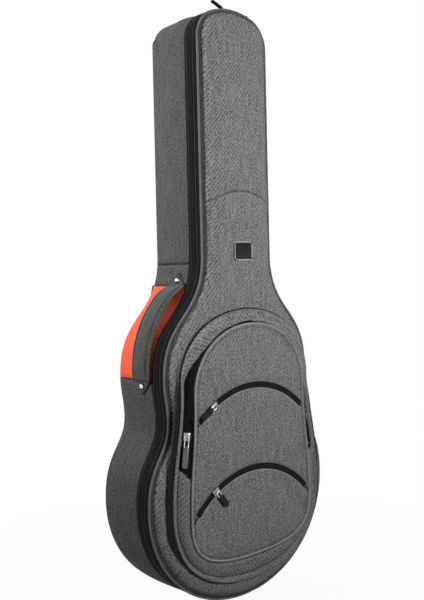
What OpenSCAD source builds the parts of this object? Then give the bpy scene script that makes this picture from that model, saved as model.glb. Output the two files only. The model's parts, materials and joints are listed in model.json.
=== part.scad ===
// Padded gig bag for a full-size acoustic guitar. Front faces -Y, the handle is on -X, Z is up.
// Depths are counted from the front seam: 0 at the seam, positive towards the back.

/* [Outline] */
// Height of the top of the head above the floor
head_z = 1098; // [1050:1:1150]
// Height of the bottom of the bag above the floor
bottom_z = 9; // [7:0.5:12]
// Width across the lower bout
lower_w = 434; // [420:2:450]
// Height of the widest point of the lower bout
lower_z = 206; // [196:2:216]
// Width across the waist
waist_w = 342; // [330:2:354]
// Height of the waist
waist_z = 352; // [344:2:360]
// Width across the upper bout
upper_w = 356; // [346:2:366]
// Height of the widest point of the upper bout
upper_z = 428; // [420:2:436]
// Width along the neck
neck_w = 170; // [160:2:180]
// Height where the neck starts to run straight
neck_z = 645; // [640:1:660]
// Radius of the arch over the head
head_r = 140; // [130:1:150]
// Radius of the two corners of the head
head_corner_r = 55; // [50:1:60]

/* [Walls] */
// Depth from the front seam to the back
bag_d = 138; // [130:1:146]
// Thickness of the outer fabric
fabric_t = 2; // [1.6:0.1:2.6]
// Thickness of the padding in the back and sides
foam_t = 14; // [10:0.5:16]
// Thickness of the padding in the front
front_foam_t = 9; // [7:0.5:10]
// Thickness of the lining
lining_t = 1.5; // [1:0.1:2]
// Crown of the front above its seam
dome_h = 16; // [14:0.5:20]
// Width of the rounded border of the front
dome_run = 44; // [38:1:46]
// Diameter of the piping in the front seam
piping_d = 5; // [4:0.2:6]
// Height of the arched seam on the front
seam_z = 762; // [740:1:790]
// Radius of the arched seam on the front
seam_r = 135; // [125:1:150]

/* [Zips] */
// Width of one tape of the main zip
tape_w = 16; // [14:0.5:18]
// Thickness of the zip tapes
tape_t = 1.2; // [0.8:0.1:1.4]
// Width of one half of a coil
coil_w = 2.8; // [2.4:0.1:3.2]
// Height of a coil above its tape
coil_h = 1.6; // [1.2:0.1:2]
// Half of the slot between the two halves of a coil
coil_slot = 0.4; // [0.3:0.05:0.6]
// Length of a slider along its zip
slider_l = 14; // [11:0.5:16]
// Thickness of a slider's plate and flanges
slider_t = 1.8; // [1.4:0.1:2.2]
// Running clearance of a slider
slider_gap = 0.35; // [0.3:0.05:0.5]
// Diameter of the wire of a puller's ring
ring_wire = 1.8; // [1.4:0.1:2]
// Inside radius of the eye that holds a ring
eye_r = 1.3; // [1.2:0.05:1.5]
// Place of the left main slider, in degrees right of the middle of the head
left_slider_at = 1; // [0:0.5:2]
// Rise of the left main puller from the bag at rest, in degrees
left_lift = 20; // [15:1:25]
// Rise of the right main puller from the bag at rest, in degrees
right_lift = 10; // [5:1:15]
// Place of the right main slider, in degrees right of the middle of the head
right_slider_at = 10; // [9:0.5:11]
// Furthest place that the main sliders reach on the head, in degrees
slider_limit = 16; // [14:0.5:17]

/* [Hinge] */
// Lower end of the uncut strip that the lid turns on
hinge_low = 150; // [140:1:160]
// Upper end of the uncut strip that the lid turns on
hinge_high = 262; // [255:1:275]

/* [Pocket] */
// Depth of the large pocket in front of the bag
pocket_d = 16; // [14:0.5:22]
// Width of the pocket where it is sewn on, at its widest
base_w = 364; // [350:2:370]
// Height of the widest point of the pocket's base
base_z = 200; // [190:2:210]
// Width of the pocket's base at the start of its arch
base_arch_w = 314; // [300:2:320]
// Height of the start of the base's arch
base_arch_z = 420; // [410:2:430]
// Top of the pocket's base
base_top = 545; // [535:1:555]
// Bottom of the pocket's base
base_bottom = 46; // [42:1:56]
// Width of the pocket's face at its widest
face_w = 300; // [290:2:306]
// Height of the widest point of the face
face_z = 180; // [170:2:190]
// Width of the face at the start of its arch
face_arch_w = 272; // [262:2:278]
// Height of the start of the face's arch
face_arch_z = 400; // [390:2:410]
// Top of the face
face_top = 518; // [508:1:524]
// Bottom of the face
face_bottom = 94; // [88:1:104]
// Height of the line where the pocket's flap folds down
flap_z = 272; // [264:1:276]
// Height of the lower end of the flap's zip
flap_zip_z = 352; // [350:1:358]
// Height of the large pocket's slider
pocket_slider_z = 332; // [326:1:336]
// Radius of the arched zips of the two small pockets
arch_r = 184; // [178:1:190]
// Distance from the foot of the face's arch in to the ends of the upper small pocket's zip
upper_arch_in = 8.18286; // [6:0.00001:30]
// Distance from the face's widest place in to the ends of the lower small pocket's zip
lower_arch_in = 13.261352; // [12:0.000001:40]
// Top of the upper small pocket's zip
upper_arch_z = 405; // [400:1:410]
// Top of the lower small pocket's zip
lower_arch_z = 253; // [246:1:256]
// Place of the small pockets' sliders, in degrees left of the middle
arch_slider_at = 31; // [26:1:36]
// Fall of the lower pocket's tab, in degrees below level
lower_tab_fall = 51; // [45:1:60]

/* [Handle] */
// Height of the upper end of the handle
handle_top = 590; // [585:1:596]
// Height of the lower end of the handle
handle_bottom = 424; // [420:1:430]
// Width of the handle's strap
handle_w = 50; // [42:1:54]
// Thickness of the handle's strap
handle_t = 8; // [6:0.5:9]
// Depth of the middle of the handle
handle_y = 60; // [54:1:70]
// Reach of the handle's bow away from the bag
handle_bow = 50; // [44:1:56]
// Length of the pointed tabs that hold the handle
tab_l = 20; // [16:1:24]
// Lower edge of the seam above the handle's upper tab
top_panel_z = 630; // [620:1:640]

/* [Back] */
// Distance of each shoulder strap from the middle
strap_x = 58; // [54:1:62]
// Width of the shoulder straps
strap_w = 60; // [50:1:66]
// Thickness of the shoulder straps
strap_t = 12; // [8:0.5:14]
// Height of the top of the shoulder straps
strap_top = 590; // [580:1:600]
// Height of the lower end of the padded straps
strap_bottom = 330; // [320:1:340]
// Bow of the shoulder straps away from the back
strap_bow = 26; // [20:1:30]
// Width of the webbing under the shoulder straps
webbing_w = 38; // [30:1:40]
// Thickness of the webbing
webbing_t = 2; // [1.5:0.1:2.5]
// Height of the webbing's anchors
anchor_z = 190; // [180:1:200]
// Height of the lower end of the hanging loop
loop_z = 960; // [940:1:980]
// Length of the hanging loop
loop_l = 90; // [80:1:100]

/* [Inside] */
// Width of the neck rest
rest_w = 130; // [120:1:132]
// Length of the neck rest
rest_l = 120; // [100:1:140]
// Height of the neck rest above the lining
rest_h = 46; // [40:1:54]
// Radius of the cradle in the neck rest
rest_r = 34; // [30:1:38]
// Height of the lower end of the neck rest
rest_z = 660; // [655:1:690]
// Height of the padding block under the guitar
end_pad_h = 26; // [20:1:34]

/* [Feet] */
// Distance of the feet from the middle
foot_x = 46; // [40:1:56]
// Depth of the front feet
foot_front = 44; // [38:1:50]
// Depth of the back feet
foot_back = 112; // [104:1:116]
// Radius of the feet
foot_r = 11; // [9:0.5:13]

/* [Patch] */
// Width of the bare patch on the front
patch_w = 46; // [36:1:56]
// Height of the bare patch on the front
patch_h = 36; // [28:1:42]
// Height of the middle of the patch
patch_z = 652; // [645:1:670]

/* [Hidden] */

$fn = 64;
// Gap between sewn layers, so that no two solids share space
ply = 0.3;
// Straight pieces of each curve of an outline
curve_n = 10;
// Straight pieces of each round corner
corner_n = 6;
// Larger than anything in the part, for cutting
far = 3000;

lower_x = lower_w / 2;
waist_x = waist_w / 2;
upper_x = upper_w / 2;
neck_x = neck_w / 2;
zip_y = piping_d + ply + tape_w;
tape_back_y = zip_y + tape_w;
lining_d = fabric_t + ply + foam_t + ply;
inner_d = lining_d + lining_t;
back_foam_y = bag_d - fabric_t - ply - foam_t;
back_lining_y = back_foam_y - ply - lining_t;
head_cz = head_z - head_r;
face_y = dome_h + ply + pocket_d;
flap_axis_y = face_y + piping_d / 2 + ply;
front_reach = face_y + coil_h + slider_gap + slider_t + 2 * eye_r + ring_wire;
back_reach = bag_d + webbing_t + 2 * ply + 0.75 * strap_bow + strap_t;
y_shift = (front_reach - back_reach) / 2;

// Curves and outlines

function mix(a, b, t) = a + (b - a) * t;
function unit(v) = v / norm(v);
function bezier(p, t) =
  let (s = 1 - t)
  s * s * s * p[0] + 3 * s * s * t * p[1] + 3 * s * t * t * p[2] + t * t * t * p[3];
function bezier_way(p, t) =
  let (s = 1 - t)
  3 * s * s * (p[1] - p[0]) + 6 * s * t * (p[2] - p[1]) + 3 * t * t * (p[3] - p[2]);

// A point of an outline is [x, z, normal x, normal z], with the normal pointing outwards.
function curve(p, n) = [
  for (i = [0 : n - 1])
    let (q = bezier(p, i / n), w = unit(bezier_way(p, i / n)))
    [q[0], q[1], w[1], -w[0]]
];
function arc(cx, cz, r, a0, a1, n) = [
  for (i = [0 : n - 1])
    let (a = mix(a0, a1, i / n))
    [cx + r * cos(a), cz + r * sin(a), cos(a), sin(a)]
];
// A quarter that leaves a level start and ends upright, or the other way round
function quarter(p, q, k) =
  [p, [mix(p[0], q[0], k), p[1]], [q[0], mix(q[1], p[1], k)], q];
function quarter_in(p, q, k) =
  [p, [p[0], mix(p[1], q[1], k)], [mix(q[0], p[0], k), q[1]], q];
// An upright start and an upright end
function swing(p, q, k0, k1) =
  [p, [p[0], mix(p[1], q[1], k0)], [q[0], mix(q[1], p[1], k1)], q];

corner_x = neck_x - head_corner_r;
corner_z = head_cz + sqrt(pow(head_r - head_corner_r, 2) - pow(corner_x, 2));
corner_a = atan2(corner_z - head_cz, corner_x);

bag_side = concat(
  curve(quarter([0, bottom_z], [lower_x, lower_z], 0.57), curve_n + 2),
  curve(swing([lower_x, lower_z], [waist_x, waist_z], 0.6, 0.36), curve_n),
  curve(swing([waist_x, waist_z], [upper_x, upper_z], 0.45, 0.45), corner_n),
  curve(swing([upper_x, upper_z], [neck_x, neck_z], 0.52, 0.52), curve_n),
  [[neck_x, neck_z, 1, 0]],
  arc(corner_x, corner_z, head_corner_r, 0, corner_a, corner_n + 1),
  arc(0, head_cz, head_r, corner_a, 90, corner_n - 2),
  [[0, head_z, 0, 1]]
);
base_side = concat(
  curve(quarter([0, base_bottom], [base_w / 2, base_z], 0.62), curve_n),
  curve(swing([base_w / 2, base_z], [base_arch_w / 2, base_arch_z], 0.4, 0.4), corner_n),
  curve(quarter_in([base_arch_w / 2, base_arch_z], [0, base_top], 0.58), curve_n),
  [[0, base_top, 0, 1]]
);
face_side = concat(
  curve(quarter([0, face_bottom], [face_w / 2, face_z], 0.75), curve_n),
  curve(swing([face_w / 2, face_z], [face_arch_w / 2, face_arch_z], 0.4, 0.4), corner_n),
  curve(quarter_in([face_arch_w / 2, face_arch_z], [0, face_top], 0.58), curve_n),
  [[0, face_top, 0, 1]]
);

function mirrored(p) = [-p[0], p[1], -p[2], p[3]];
function closed(side) =
  let (n = len(side))
  concat(side, [for (i = [n - 2 : -1 : 1]) mirrored(side[i])]);
bag_line = closed(bag_side);
base_line = closed(base_side);
face_line = closed(face_side);

// Outline moved inwards by d
function inset(line, d) = [for (p = line) [p[0] - d * p[2], p[1] - d * p[3]]];
// Half width of an outline at a height, and its normal there
function half_at(side, z) = lookup(z, [for (p = side) [p[1], p[0]]]);
function normal_at(z) = unit([
  lookup(z, [for (p = bag_side) [p[1], p[2]]]),
  lookup(z, [for (p = bag_side) [p[1], p[3]]])
]);

// Builders

module placed() translate([0, y_shift, 0]) children();

// A flat shape in X and Z, filled from depth y0 to depth y1
module slab(y0, y1) translate([0, y1, 0]) rotate([90, 0, 0]) linear_extrude(y1 - y0) children();

// A flat shape in Y and Z, filled from x0 to x1
module side_slab(x0, x1) translate([x0, 0, 0]) rotate([90, 0, 90]) linear_extrude(x1 - x0) children();

// A band along the bag's outline between two insets
module band(d0, d1, y0, y1) slab(y0, y1) difference() {
  polygon(inset(bag_line, d0));
  polygon(inset(bag_line, d1));
}

module box(low, high) translate(low) cube(high - low);
module above(z) box([-far, -far, z], [far, far, far]);
module below(z) box([-far, -far, -far], [far, far, z]);

// Everything on the right side between the ends of the uncut strip, widened by gap
module hinge_zone(gap) box([waist_x / 2, -far, hinge_low - gap], [far, far, hinge_high + gap]);

function ring_at(line, d, y) = [for (p = inset(line, d)) [p[0], y, p[1]]];

// A skin through rings of equal count, with both ends closed
module loft(rings) {
  n = len(rings[0]);
  m = len(rings);
  bands = [
    for (j = [0 : m - 2], i = [0 : n - 1])
      let (a = j * n, b = a + n, k = (i + 1) % n)
      each [[a + i, a + k, b + k], [a + i, b + k, b + i]]
  ];
  caps = [[for (i = [n - 1 : -1 : 0]) i], [for (i = [0 : n - 1]) (m - 1) * n + i]];
  polyhedron([for (r = rings) each r], concat(bands, caps), convexity = 10);
}

// A closed sleeve through rings of equal count, the last joined to the first
module sleeve(rings) {
  n = len(rings[0]);
  m = len(rings);
  bands = [
    for (j = [0 : m - 1], i = [0 : n - 1])
      let (a = j * n, b = ((j + 1) % m) * n, k = (i + 1) % n)
      each [[a + i, a + k, b + k], [a + i, b + k, b + i]]
  ];
  polyhedron([for (r = rings) each r], bands, convexity = 10);
}

// A round cord along an outline, with its middle at inset d and depth y
cord_n = 6;
module cord(line, d, y, r) sleeve([
  for (j = [0 : cord_n - 1])
    let (a = -360 * (j + 0.5) / cord_n)
    ring_at(line, d - r * cos(a), y + r * sin(a))
]);

// The crowned front: share t of the rounded border, and the crown's height there
dome_steps = [0, 0.08, 0.25, 0.55, 1];
function dome_ring(d, h, t) =
  ring_at(bag_line, mix(d, dome_run, t), -h * sqrt(1 - (1 - t) * (1 - t)));
module dome_shell(d0, h0, d1, h1) loft(concat(
  [for (i = [len(dome_steps) - 1 : -1 : 0]) dome_ring(d0, h0, dome_steps[i])],
  [for (t = dome_steps) dome_ring(d1, h1, t)]
));

// A ring of the pocket's sloping side: s is 0 at the base and 1 at the face, y_in moves it inwards
function slope_ring(s, y_in) = [
  for (i = [0 : len(base_line) - 1])
    let (b = base_line[i], f = face_line[i])
    [mix(b[0], f[0], s), mix(-dome_h - ply, -face_y, s) + y_in, mix(b[1], f[1], s)]
];
// A strip along that side, drawn as a section of [share s, depth y_in]
module slope_strip(section) sleeve([for (p = section) slope_ring(p[0], p[1])]);
module slope_band(s0, s1, t) slope_strip([[s0, t], [s0, 0], [s1, 0], [s1, t]]);

// Axes of a small piece: origin o, the way x that it points and the way z away from its seat
module on_axes(o, x, z) {
  y = cross(z, x);
  multmatrix([
    [x[0], y[0], z[0], o[0]],
    [x[1], y[1], z[1], o[1]],
    [x[2], y[2], z[2], o[2]],
    [0, 0, 0, 1]
  ]) children();
}

// A turned piece about Y through (0, z): its shape is drawn as [radius, depth towards the front]
module turned(z, a0, a1)
  translate([0, 0, z]) rotate([90, 0, 0]) rotate([0, 0, a0])
    rotate_extrude(angle = a1 - a0, $fn = 180) children();

module rectangle(x0, x1, y0, y1) translate([x0, y0]) square([x1 - x0, y1 - y0]);

// Zip hardware

ring_r = ring_wire / 2;
eye_wall = 1;
eye_out = eye_r + eye_wall;
eye_w = 3;
ring_w = 7;
wire_gap = eye_r - ring_r;
coil_reach = coil_slot + coil_w;
channel_half = coil_reach + slider_gap;
slider_half = channel_half + slider_t;
plate_low = coil_h + slider_gap;
plate_top = plate_low + slider_t;
// Height of a puller's pin above the tape
pin_h = plate_top + eye_r + ring_r;

// Length of a ring whose tab clears the slider's plate
short_ring_l = slider_l / 2 + eye_out + ply;

// Cross-section of a slider: across the zip, height above the tape, with ease added to its clearance
module slider_section(ease = 0) difference() {
  rectangle(-slider_half - ease, slider_half + ease, slider_gap + ease, plate_top + ease);
  rectangle(-channel_half - ease, channel_half + ease, 0, plate_low + ease);
}

// Eye on a slider, with its bore at the origin and the slider's plate below
module eye() difference() {
  union() {
    rotate([90, 0, 0]) cylinder(r = eye_out, h = eye_w, center = true);
    box([-eye_out, -eye_w / 2, plate_top - pin_h - ply], [eye_out, eye_w / 2, 0]);
  }
  rotate([90, 0, 0]) cylinder(r = eye_r, h = 2 * eye_w, center = true);
}

module wire(from, to) translate(from) {
  way = to - from;
  rotate([0, acos(way[2] / norm(way)), atan2(way[1], way[0])]) cylinder(r = ring_r, h = norm(way));
}

// Ring of a puller, from the pin at the origin along X
module pull_ring(l) {
  ends = [[0, -ring_w / 2, 0], [l, -ring_w / 2, 0], [l, ring_w / 2, 0], [0, ring_w / 2, 0]];
  for (i = [0 : 3]) {
    wire(ends[i], ends[(i + 1) % 4]);
    translate(ends[i]) sphere(ring_r);
  }
}

// Tab of a puller, held by the far bar of its ring
tab_t = 2.4;
module pull_tab(ring_l, l, w) {
  neck = ring_w - 2 * ring_r - 2 * wire_gap;
  start = ring_l + ring_r + 2 * wire_gap;
  difference() {
    union() {
      translate([ring_l, 0, 0]) rotate([90, 0, 0]) cylinder(r = eye_out, h = neck, center = true);
      box([ring_l, -neck / 2, -tab_t / 2], [start + 1, neck / 2, tab_t / 2]);
      translate([0, 0, -tab_t / 2]) linear_extrude(tab_t) union() {
        rectangle(start, start + l - w / 2, -w / 2, w / 2);
        translate([start + l - w / 2, 0]) circle(w / 2);
      }
    }
    translate([ring_l, 0, 0]) rotate([90, 0, 0]) cylinder(r = eye_r, h = 2 * ring_w, center = true);
  }
}

// Main sliders on the head: a is degrees right of the middle, side is -1 for a tab to the left
main_ring_l = short_ring_l;
main_tab_l = 24;
main_tab_w = 8;
slider_a = slider_l / head_r * 90 / PI;
module main_axes(a, side) {
  r = head_r + pin_h;
  on_axes([r * sin(a), zip_y, head_cz + r * cos(a)], [side * cos(a), 0, -side * sin(a)], [sin(a), 0, cos(a)])
    children();
}
module main_slider(a, side) {
  turned(head_cz, 90 - a - slider_a, 90 - a + slider_a)
    translate([head_r, -zip_y]) rotate(-90) slider_section();
  main_axes(a, side) eye();
}

// Small arched zips on the pocket's face
small_ring_l = short_ring_l;
small_tab_l = 26;
small_tab_w = 11;
small_tape_w = 6;
arch_slider_a = slider_l / arch_r * 90 / PI;
// Half of the angle of each small pocket's zip
upper_arch_a = asin((face_arch_w / 2 - upper_arch_in) / arch_r);
lower_arch_a = asin((face_w / 2 - lower_arch_in) / arch_r);
small_tape_y = face_y - ply;
module arch_axes(top, x) {
  a = 90 + arch_slider_at;
  y = -small_tape_y - pin_h;
  on_axes([arch_r * cos(a), y, top - arch_r + arch_r * sin(a)], x, [0, -1, 0]) children();
}
module arch_slider(top, x) {
  a = 90 + arch_slider_at;
  turned(top - arch_r, a - arch_slider_a, a + arch_slider_a)
    translate([arch_r, small_tape_y]) slider_section();
  arch_axes(top, x) eye();
}
module arch_zip(top, half) turned(top - arch_r, 90 - half, 90 + half) translate([arch_r, small_tape_y]) {
  rectangle(-small_tape_w, small_tape_w, -tape_t, 0);
  rectangle(coil_slot, coil_reach, -tape_t, coil_h);
  rectangle(-coil_reach, -coil_slot, -tape_t, coil_h);
}
module arch_slot(top, half) {
  end_a = half + ply / arch_r * 180 / PI;
  turned(top - arch_r, 90 - end_a, 90 + end_a)
    translate([arch_r, 0]) rectangle(-small_tape_w - ply, small_tape_w + ply, 0, 2 * face_y);
}
upper_tab_way = [-cos(arch_slider_at), 0, -sin(arch_slider_at)];
lower_tab_way = [cos(lower_tab_fall), 0, -sin(lower_tab_fall)];

// Large pocket's zip on its sloping side
pocket_ring_l = 18;
pocket_tab_l = 34;
pocket_tab_w = 10;
zip_s = 0.5;
slope_l = norm([base_arch_w / 2 - face_arch_w / 2, pocket_d]);
coil_s = coil_w / slope_l;
slot_s = coil_slot / slope_l;
tape_s = 0.14;
piping_s = (piping_d / 2 + 2 * ply) / slope_l;
zip_side = [
  for (i = [0 : len(base_side) - 1])
    [mix(base_side[i][0], face_side[i][0], zip_s), mix(base_side[i][1], face_side[i][1], zip_s)]
];
function zip_x(z) = -lookup(z, [for (p = zip_side) [p[1], p[0]]]);
// Travel of that zip's slider, and the two ends of the stretch of zip that it covers
pocket_run = 20;
run_ends = [pocket_slider_z - pocket_run - slider_l / 2, pocket_slider_z + slider_l / 2];
run_up = unit([zip_x(run_ends[1]) - zip_x(run_ends[0]), 0, run_ends[1] - run_ends[0]]);
function run_across(z) = unit([half_at(face_side, z) - half_at(base_side, z), pocket_d, 0]);
run_out = unit(cross(run_up, run_across(pocket_slider_z)));
run_seat = [zip_x(pocket_slider_z), -dome_h - ply - pocket_d * zip_s, pocket_slider_z];
// Bend and twist of that zip away from the slider's straight travel
function run_bend(z) = abs(zip_x(z) - run_seat[0] - (z - pocket_slider_z) * run_up[0] / run_up[2]);
function run_twist(z) = norm(run_across(z) - run_across(pocket_slider_z));
run_ease = max([
  for (z = [run_ends[0] : slider_l / 4 : run_ends[1]]) run_bend(z) + slider_half * run_twist(z)
]);
module pocket_axes() on_axes(run_seat + run_out * pin_h, -run_up, run_out) children();

// Nodes of the shell

module back_panel() color("gray") placed() slab(bag_d - fabric_t, bag_d) polygon(inset(bag_line, 0));
module back_foam() color("dimgray") placed()
  slab(back_foam_y, back_foam_y + foam_t) polygon(inset(bag_line, fabric_t + ply));
module back_lining() color("darkgray") placed()
  slab(back_lining_y, back_lining_y + lining_t) polygon(inset(bag_line, lining_d));

gusset_y = tape_back_y + ply;
module gusset() band(0, fabric_t, gusset_y, bag_d - fabric_t - ply);
module left_cut(z0, z1) intersection() {
  gusset();
  box([-far, -far, z0], [0, far, z1]);
}
orange_low = handle_bottom;
orange_high = handle_top - ply;
module gusset_head() color("gray") placed() intersection() {
  gusset();
  above(top_panel_z);
}
module handle_top_panel() color("gray") placed() left_cut(orange_high + ply, top_panel_z - ply);
module handle_panel() color("coral") placed() left_cut(orange_low, orange_high);
module gusset_base() color("gray") placed() difference() {
  gusset();
  above(top_panel_z - ply);
  box([-far, -far, orange_low - ply], [0, far, far]);
}
module side_foam() color("dimgray") placed()
  band(fabric_t + ply, fabric_t + ply + foam_t, gusset_y, back_foam_y);
module side_lining() color("darkgray") placed()
  band(lining_d, inner_d, gusset_y, back_lining_y);

module zip_tape_back() color("black") placed() difference() {
  band(0, tape_t, zip_y + coil_slot, tape_back_y);
  hinge_zone(ply);
}
module zip_coil_back() color("black") placed() difference() {
  band(-coil_h, 0, zip_y + coil_slot, zip_y + coil_reach);
  hinge_zone(ply);
}
module hinge_strip_back() color("gray") placed() intersection() {
  band(0, fabric_t, zip_y + coil_slot, tape_back_y);
  hinge_zone(0);
}

foot_lip = 2;
module rubber_feet() color("black") placed() difference() {
  for (x = [-foot_x, foot_x], y = [foot_front, foot_back])
    translate([x, y, 0]) rotate_extrude() polygon([
      [0, 0], [foot_r - foot_lip, 0], [foot_r, foot_lip], [foot_r, lower_z / 4], [0, lower_z / 4]
    ]);
  slab(-far, far) polygon(inset(bag_line, 0));
}

// The handle's strap follows a bow between its two seats on the side.
handle_seat = handle_t / 2 + 2 * ply;
handle_line = [
  [-half_at(bag_side, handle_top) - handle_seat, handle_top],
  [-half_at(bag_side, handle_top) - handle_seat - handle_bow, handle_top - 20],
  [-half_at(bag_side, handle_bottom) - handle_seat - handle_bow / 5, handle_bottom + 70],
  [-half_at(bag_side, handle_bottom) - handle_seat, handle_bottom]
];
handle_n = 14;
function strap_edge(line, n, d) = [
  for (i = [0 : n])
    let (q = bezier(line, i / n), w = unit(bezier_way(line, i / n)))
    [q[0] - d * w[1], q[1] + d * w[0]]
];
function strap_shape(line, n, t) = concat(
  strap_edge(line, n, -t / 2),
  [for (i = [n : -1 : 0]) strap_edge(line, n, t / 2)[i]]
);
module handle_strap() color("dimgray") placed()
  slab(handle_y - handle_w / 2, handle_y + handle_w / 2) polygon(strap_shape(handle_line, handle_n, handle_t));

tab_t_handle = 1.6;
tab_half = handle_w / 2 - 4;
module tab_shape(z, up) polygon([
  [handle_y - tab_half, z], [handle_y + tab_half, z], [handle_y, z + up * tab_l]
]);
module handle_tabs() color("gray") placed() intersection() {
  band(-tab_t_handle, 0, -far, far);
  side_slab(-far, 0) union() {
    tab_shape(handle_top + 2 * handle_t / 3, 1);
    tab_shape(handle_bottom - handle_t / 3, -1);
  }
}

// A place on the left side of the bag, with local Z pointing away from the bag
module on_left(z, y, lift) {
  n = normal_at(z);
  way = [-n[0], 0, n[1]];
  on_axes([-half_at(bag_side, z), y, z] + way * lift, [n[1], 0, n[0]], way) children();
}
rivet_r = 4;
washer_r = 5.6;
washer_t = 1;
rivet_h = 2.4;
rivet_in = 9;
module rivet() {
  rotate_extrude() rectangle(0, washer_r, 0, washer_t);
  translate([0, 0, washer_t + ply]) rotate_extrude() polygon([
    [0, 0], [rivet_r, 0], [rivet_r, 0.6], [0.8 * rivet_r, 0.7 * rivet_h], [0.4 * rivet_r, rivet_h], [0, rivet_h]
  ]);
}
module handle_rivets() color("silver") placed() for (z = [handle_top + rivet_in, handle_bottom - rivet_in])
  on_left(z, handle_y, tab_t_handle + 2 * ply) rivet();

// Straps on the back, drawn as a side profile of depth and height
back_seat = bag_d + ply;
strap_seat = back_seat + webbing_t + ply + strap_t / 2;
strap_line = [
  [strap_seat, strap_top],
  [strap_seat + strap_bow, mix(strap_top, strap_bottom, 0.25)],
  [strap_seat + strap_bow, mix(strap_top, strap_bottom, 0.75)],
  [strap_seat, strap_bottom]
];
strap_n = 12;
module shoulder_strap(side) side_slab(side * strap_x - strap_w / 2, side * strap_x + strap_w / 2)
  polygon(strap_shape(strap_line, strap_n, strap_t));
module shoulder_strap_left() color("dimgray") placed() shoulder_strap(-1);
module shoulder_strap_right() color("dimgray") placed() shoulder_strap(1);

yoke_h = 46;
yoke_over = 12;
module strap_yoke() color("gray") placed() {
  half = strap_x + strap_w / 2;
  box([-half, back_seat, strap_top - yoke_over], [half, back_seat + webbing_t, strap_top - yoke_over + yoke_h]);
}
buckle_h = 30;
buckle_t = 5;
buckle_bar = 5;
buckle_y = back_seat + webbing_t + ply;
module strap_buckles() color("black") placed() for (side = [-1, 1])
  translate([side * strap_x, 0, strap_bottom - ply - buckle_h]) slab(buckle_y, buckle_y + buckle_t) difference() {
    rectangle(-webbing_w / 2 - buckle_bar, webbing_w / 2 + buckle_bar, 0, buckle_h);
    for (z = [buckle_bar, buckle_h / 2 + buckle_bar / 2])
      rectangle(-webbing_w / 2 - ply, webbing_w / 2 + ply, z, z + buckle_h / 2 - 1.5 * buckle_bar);
  }
anchor_h = 34;
module strap_webbing() color("black") placed() for (side = [-1, 1]) box(
  [side * strap_x - webbing_w / 2, back_seat, anchor_z + anchor_h + ply],
  [side * strap_x + webbing_w / 2, back_seat + webbing_t, strap_top - yoke_over - ply]
);
anchor_extra = 8;
module strap_anchors() color("gray") placed() for (side = [-1, 1])
  translate([side * strap_x, 0, 0]) slab(back_seat, back_seat + webbing_t) polygon([
    [-webbing_w / 2 - anchor_extra, anchor_z], [webbing_w / 2 + anchor_extra, anchor_z],
    [webbing_w / 2, anchor_z + anchor_h], [-webbing_w / 2, anchor_z + anchor_h]
  ]);
loop_w = 30;
loop_t = 3;
loop_bow = 40;
loop_foot = 22;
loop_seat = back_seat + loop_t / 2;
loop_line = [
  [loop_seat, loop_z + loop_foot],
  [loop_seat + loop_bow, loop_z + loop_foot],
  [loop_seat + loop_bow, loop_z + loop_l - loop_foot],
  [loop_seat, loop_z + loop_l - loop_foot]
];
module hang_loop() color("black") placed() side_slab(-loop_w / 2, loop_w / 2) {
  polygon(strap_shape(loop_line, strap_n, loop_t));
  for (z = [loop_z, loop_z + loop_l - loop_foot])
    rectangle(back_seat, back_seat + loop_t, z, z + loop_foot);
}

// Inside pieces
rest_back = back_lining_y - ply;
module neck_rest() color("dimgray") placed() translate([0, 0, rest_z]) linear_extrude(rest_l) difference() {
  rectangle(-rest_w / 2, rest_w / 2, rest_back - rest_h, rest_back);
  translate([0, rest_back - rest_h]) circle(rest_r);
}
neck_strap_w = 40;
module neck_strap() color("black") placed() {
  y = rest_back - rest_h - ply - webbing_t;
  z = rest_z + (rest_l - neck_strap_w) / 2;
  box([-rest_w / 2, y, z], [rest_w / 2, y + webbing_t, z + neck_strap_w]);
}
module end_pad() color("dimgray") placed() intersection() {
  slab(gusset_y, rest_back) polygon(inset(bag_line, inner_d + ply));
  below(bottom_z + inner_d + end_pad_h);
}

// Nodes of the lid

module arch_zone() slab(-far, far) {
  rectangle(-far, far, -far, seam_z - seam_r);
  translate([0, seam_z - seam_r]) circle(seam_r - ply / 2);
}
module front_skin() dome_shell(0, dome_h, fabric_t, dome_h - fabric_t);
module front_panel_upper() color("lightgray") placed() difference() {
  front_skin();
  arch_zone();
}
module front_panel_lower() color("silver") placed() intersection() {
  front_skin();
  arch_zone();
}
foam_d = fabric_t + ply;
module front_foam() color("dimgray") placed()
  dome_shell(foam_d, dome_h - foam_d, foam_d + front_foam_t, dome_h - foam_d - front_foam_t);
front_lining_d = foam_d + front_foam_t + ply;
module front_lining() color("darkgray") placed() dome_shell(
  front_lining_d, dome_h - front_lining_d, front_lining_d + lining_t, dome_h - front_lining_d - lining_t
);
module front_piping() color("lightgray") placed()
  cord(bag_line, piping_d / 4, ply + piping_d / 2, piping_d / 2);
tape_front_y = piping_d + 2 * ply;
module zip_tape_front() color("black") placed() difference() {
  band(0, tape_t, tape_front_y, zip_y - coil_slot);
  hinge_zone(ply);
}
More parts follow.
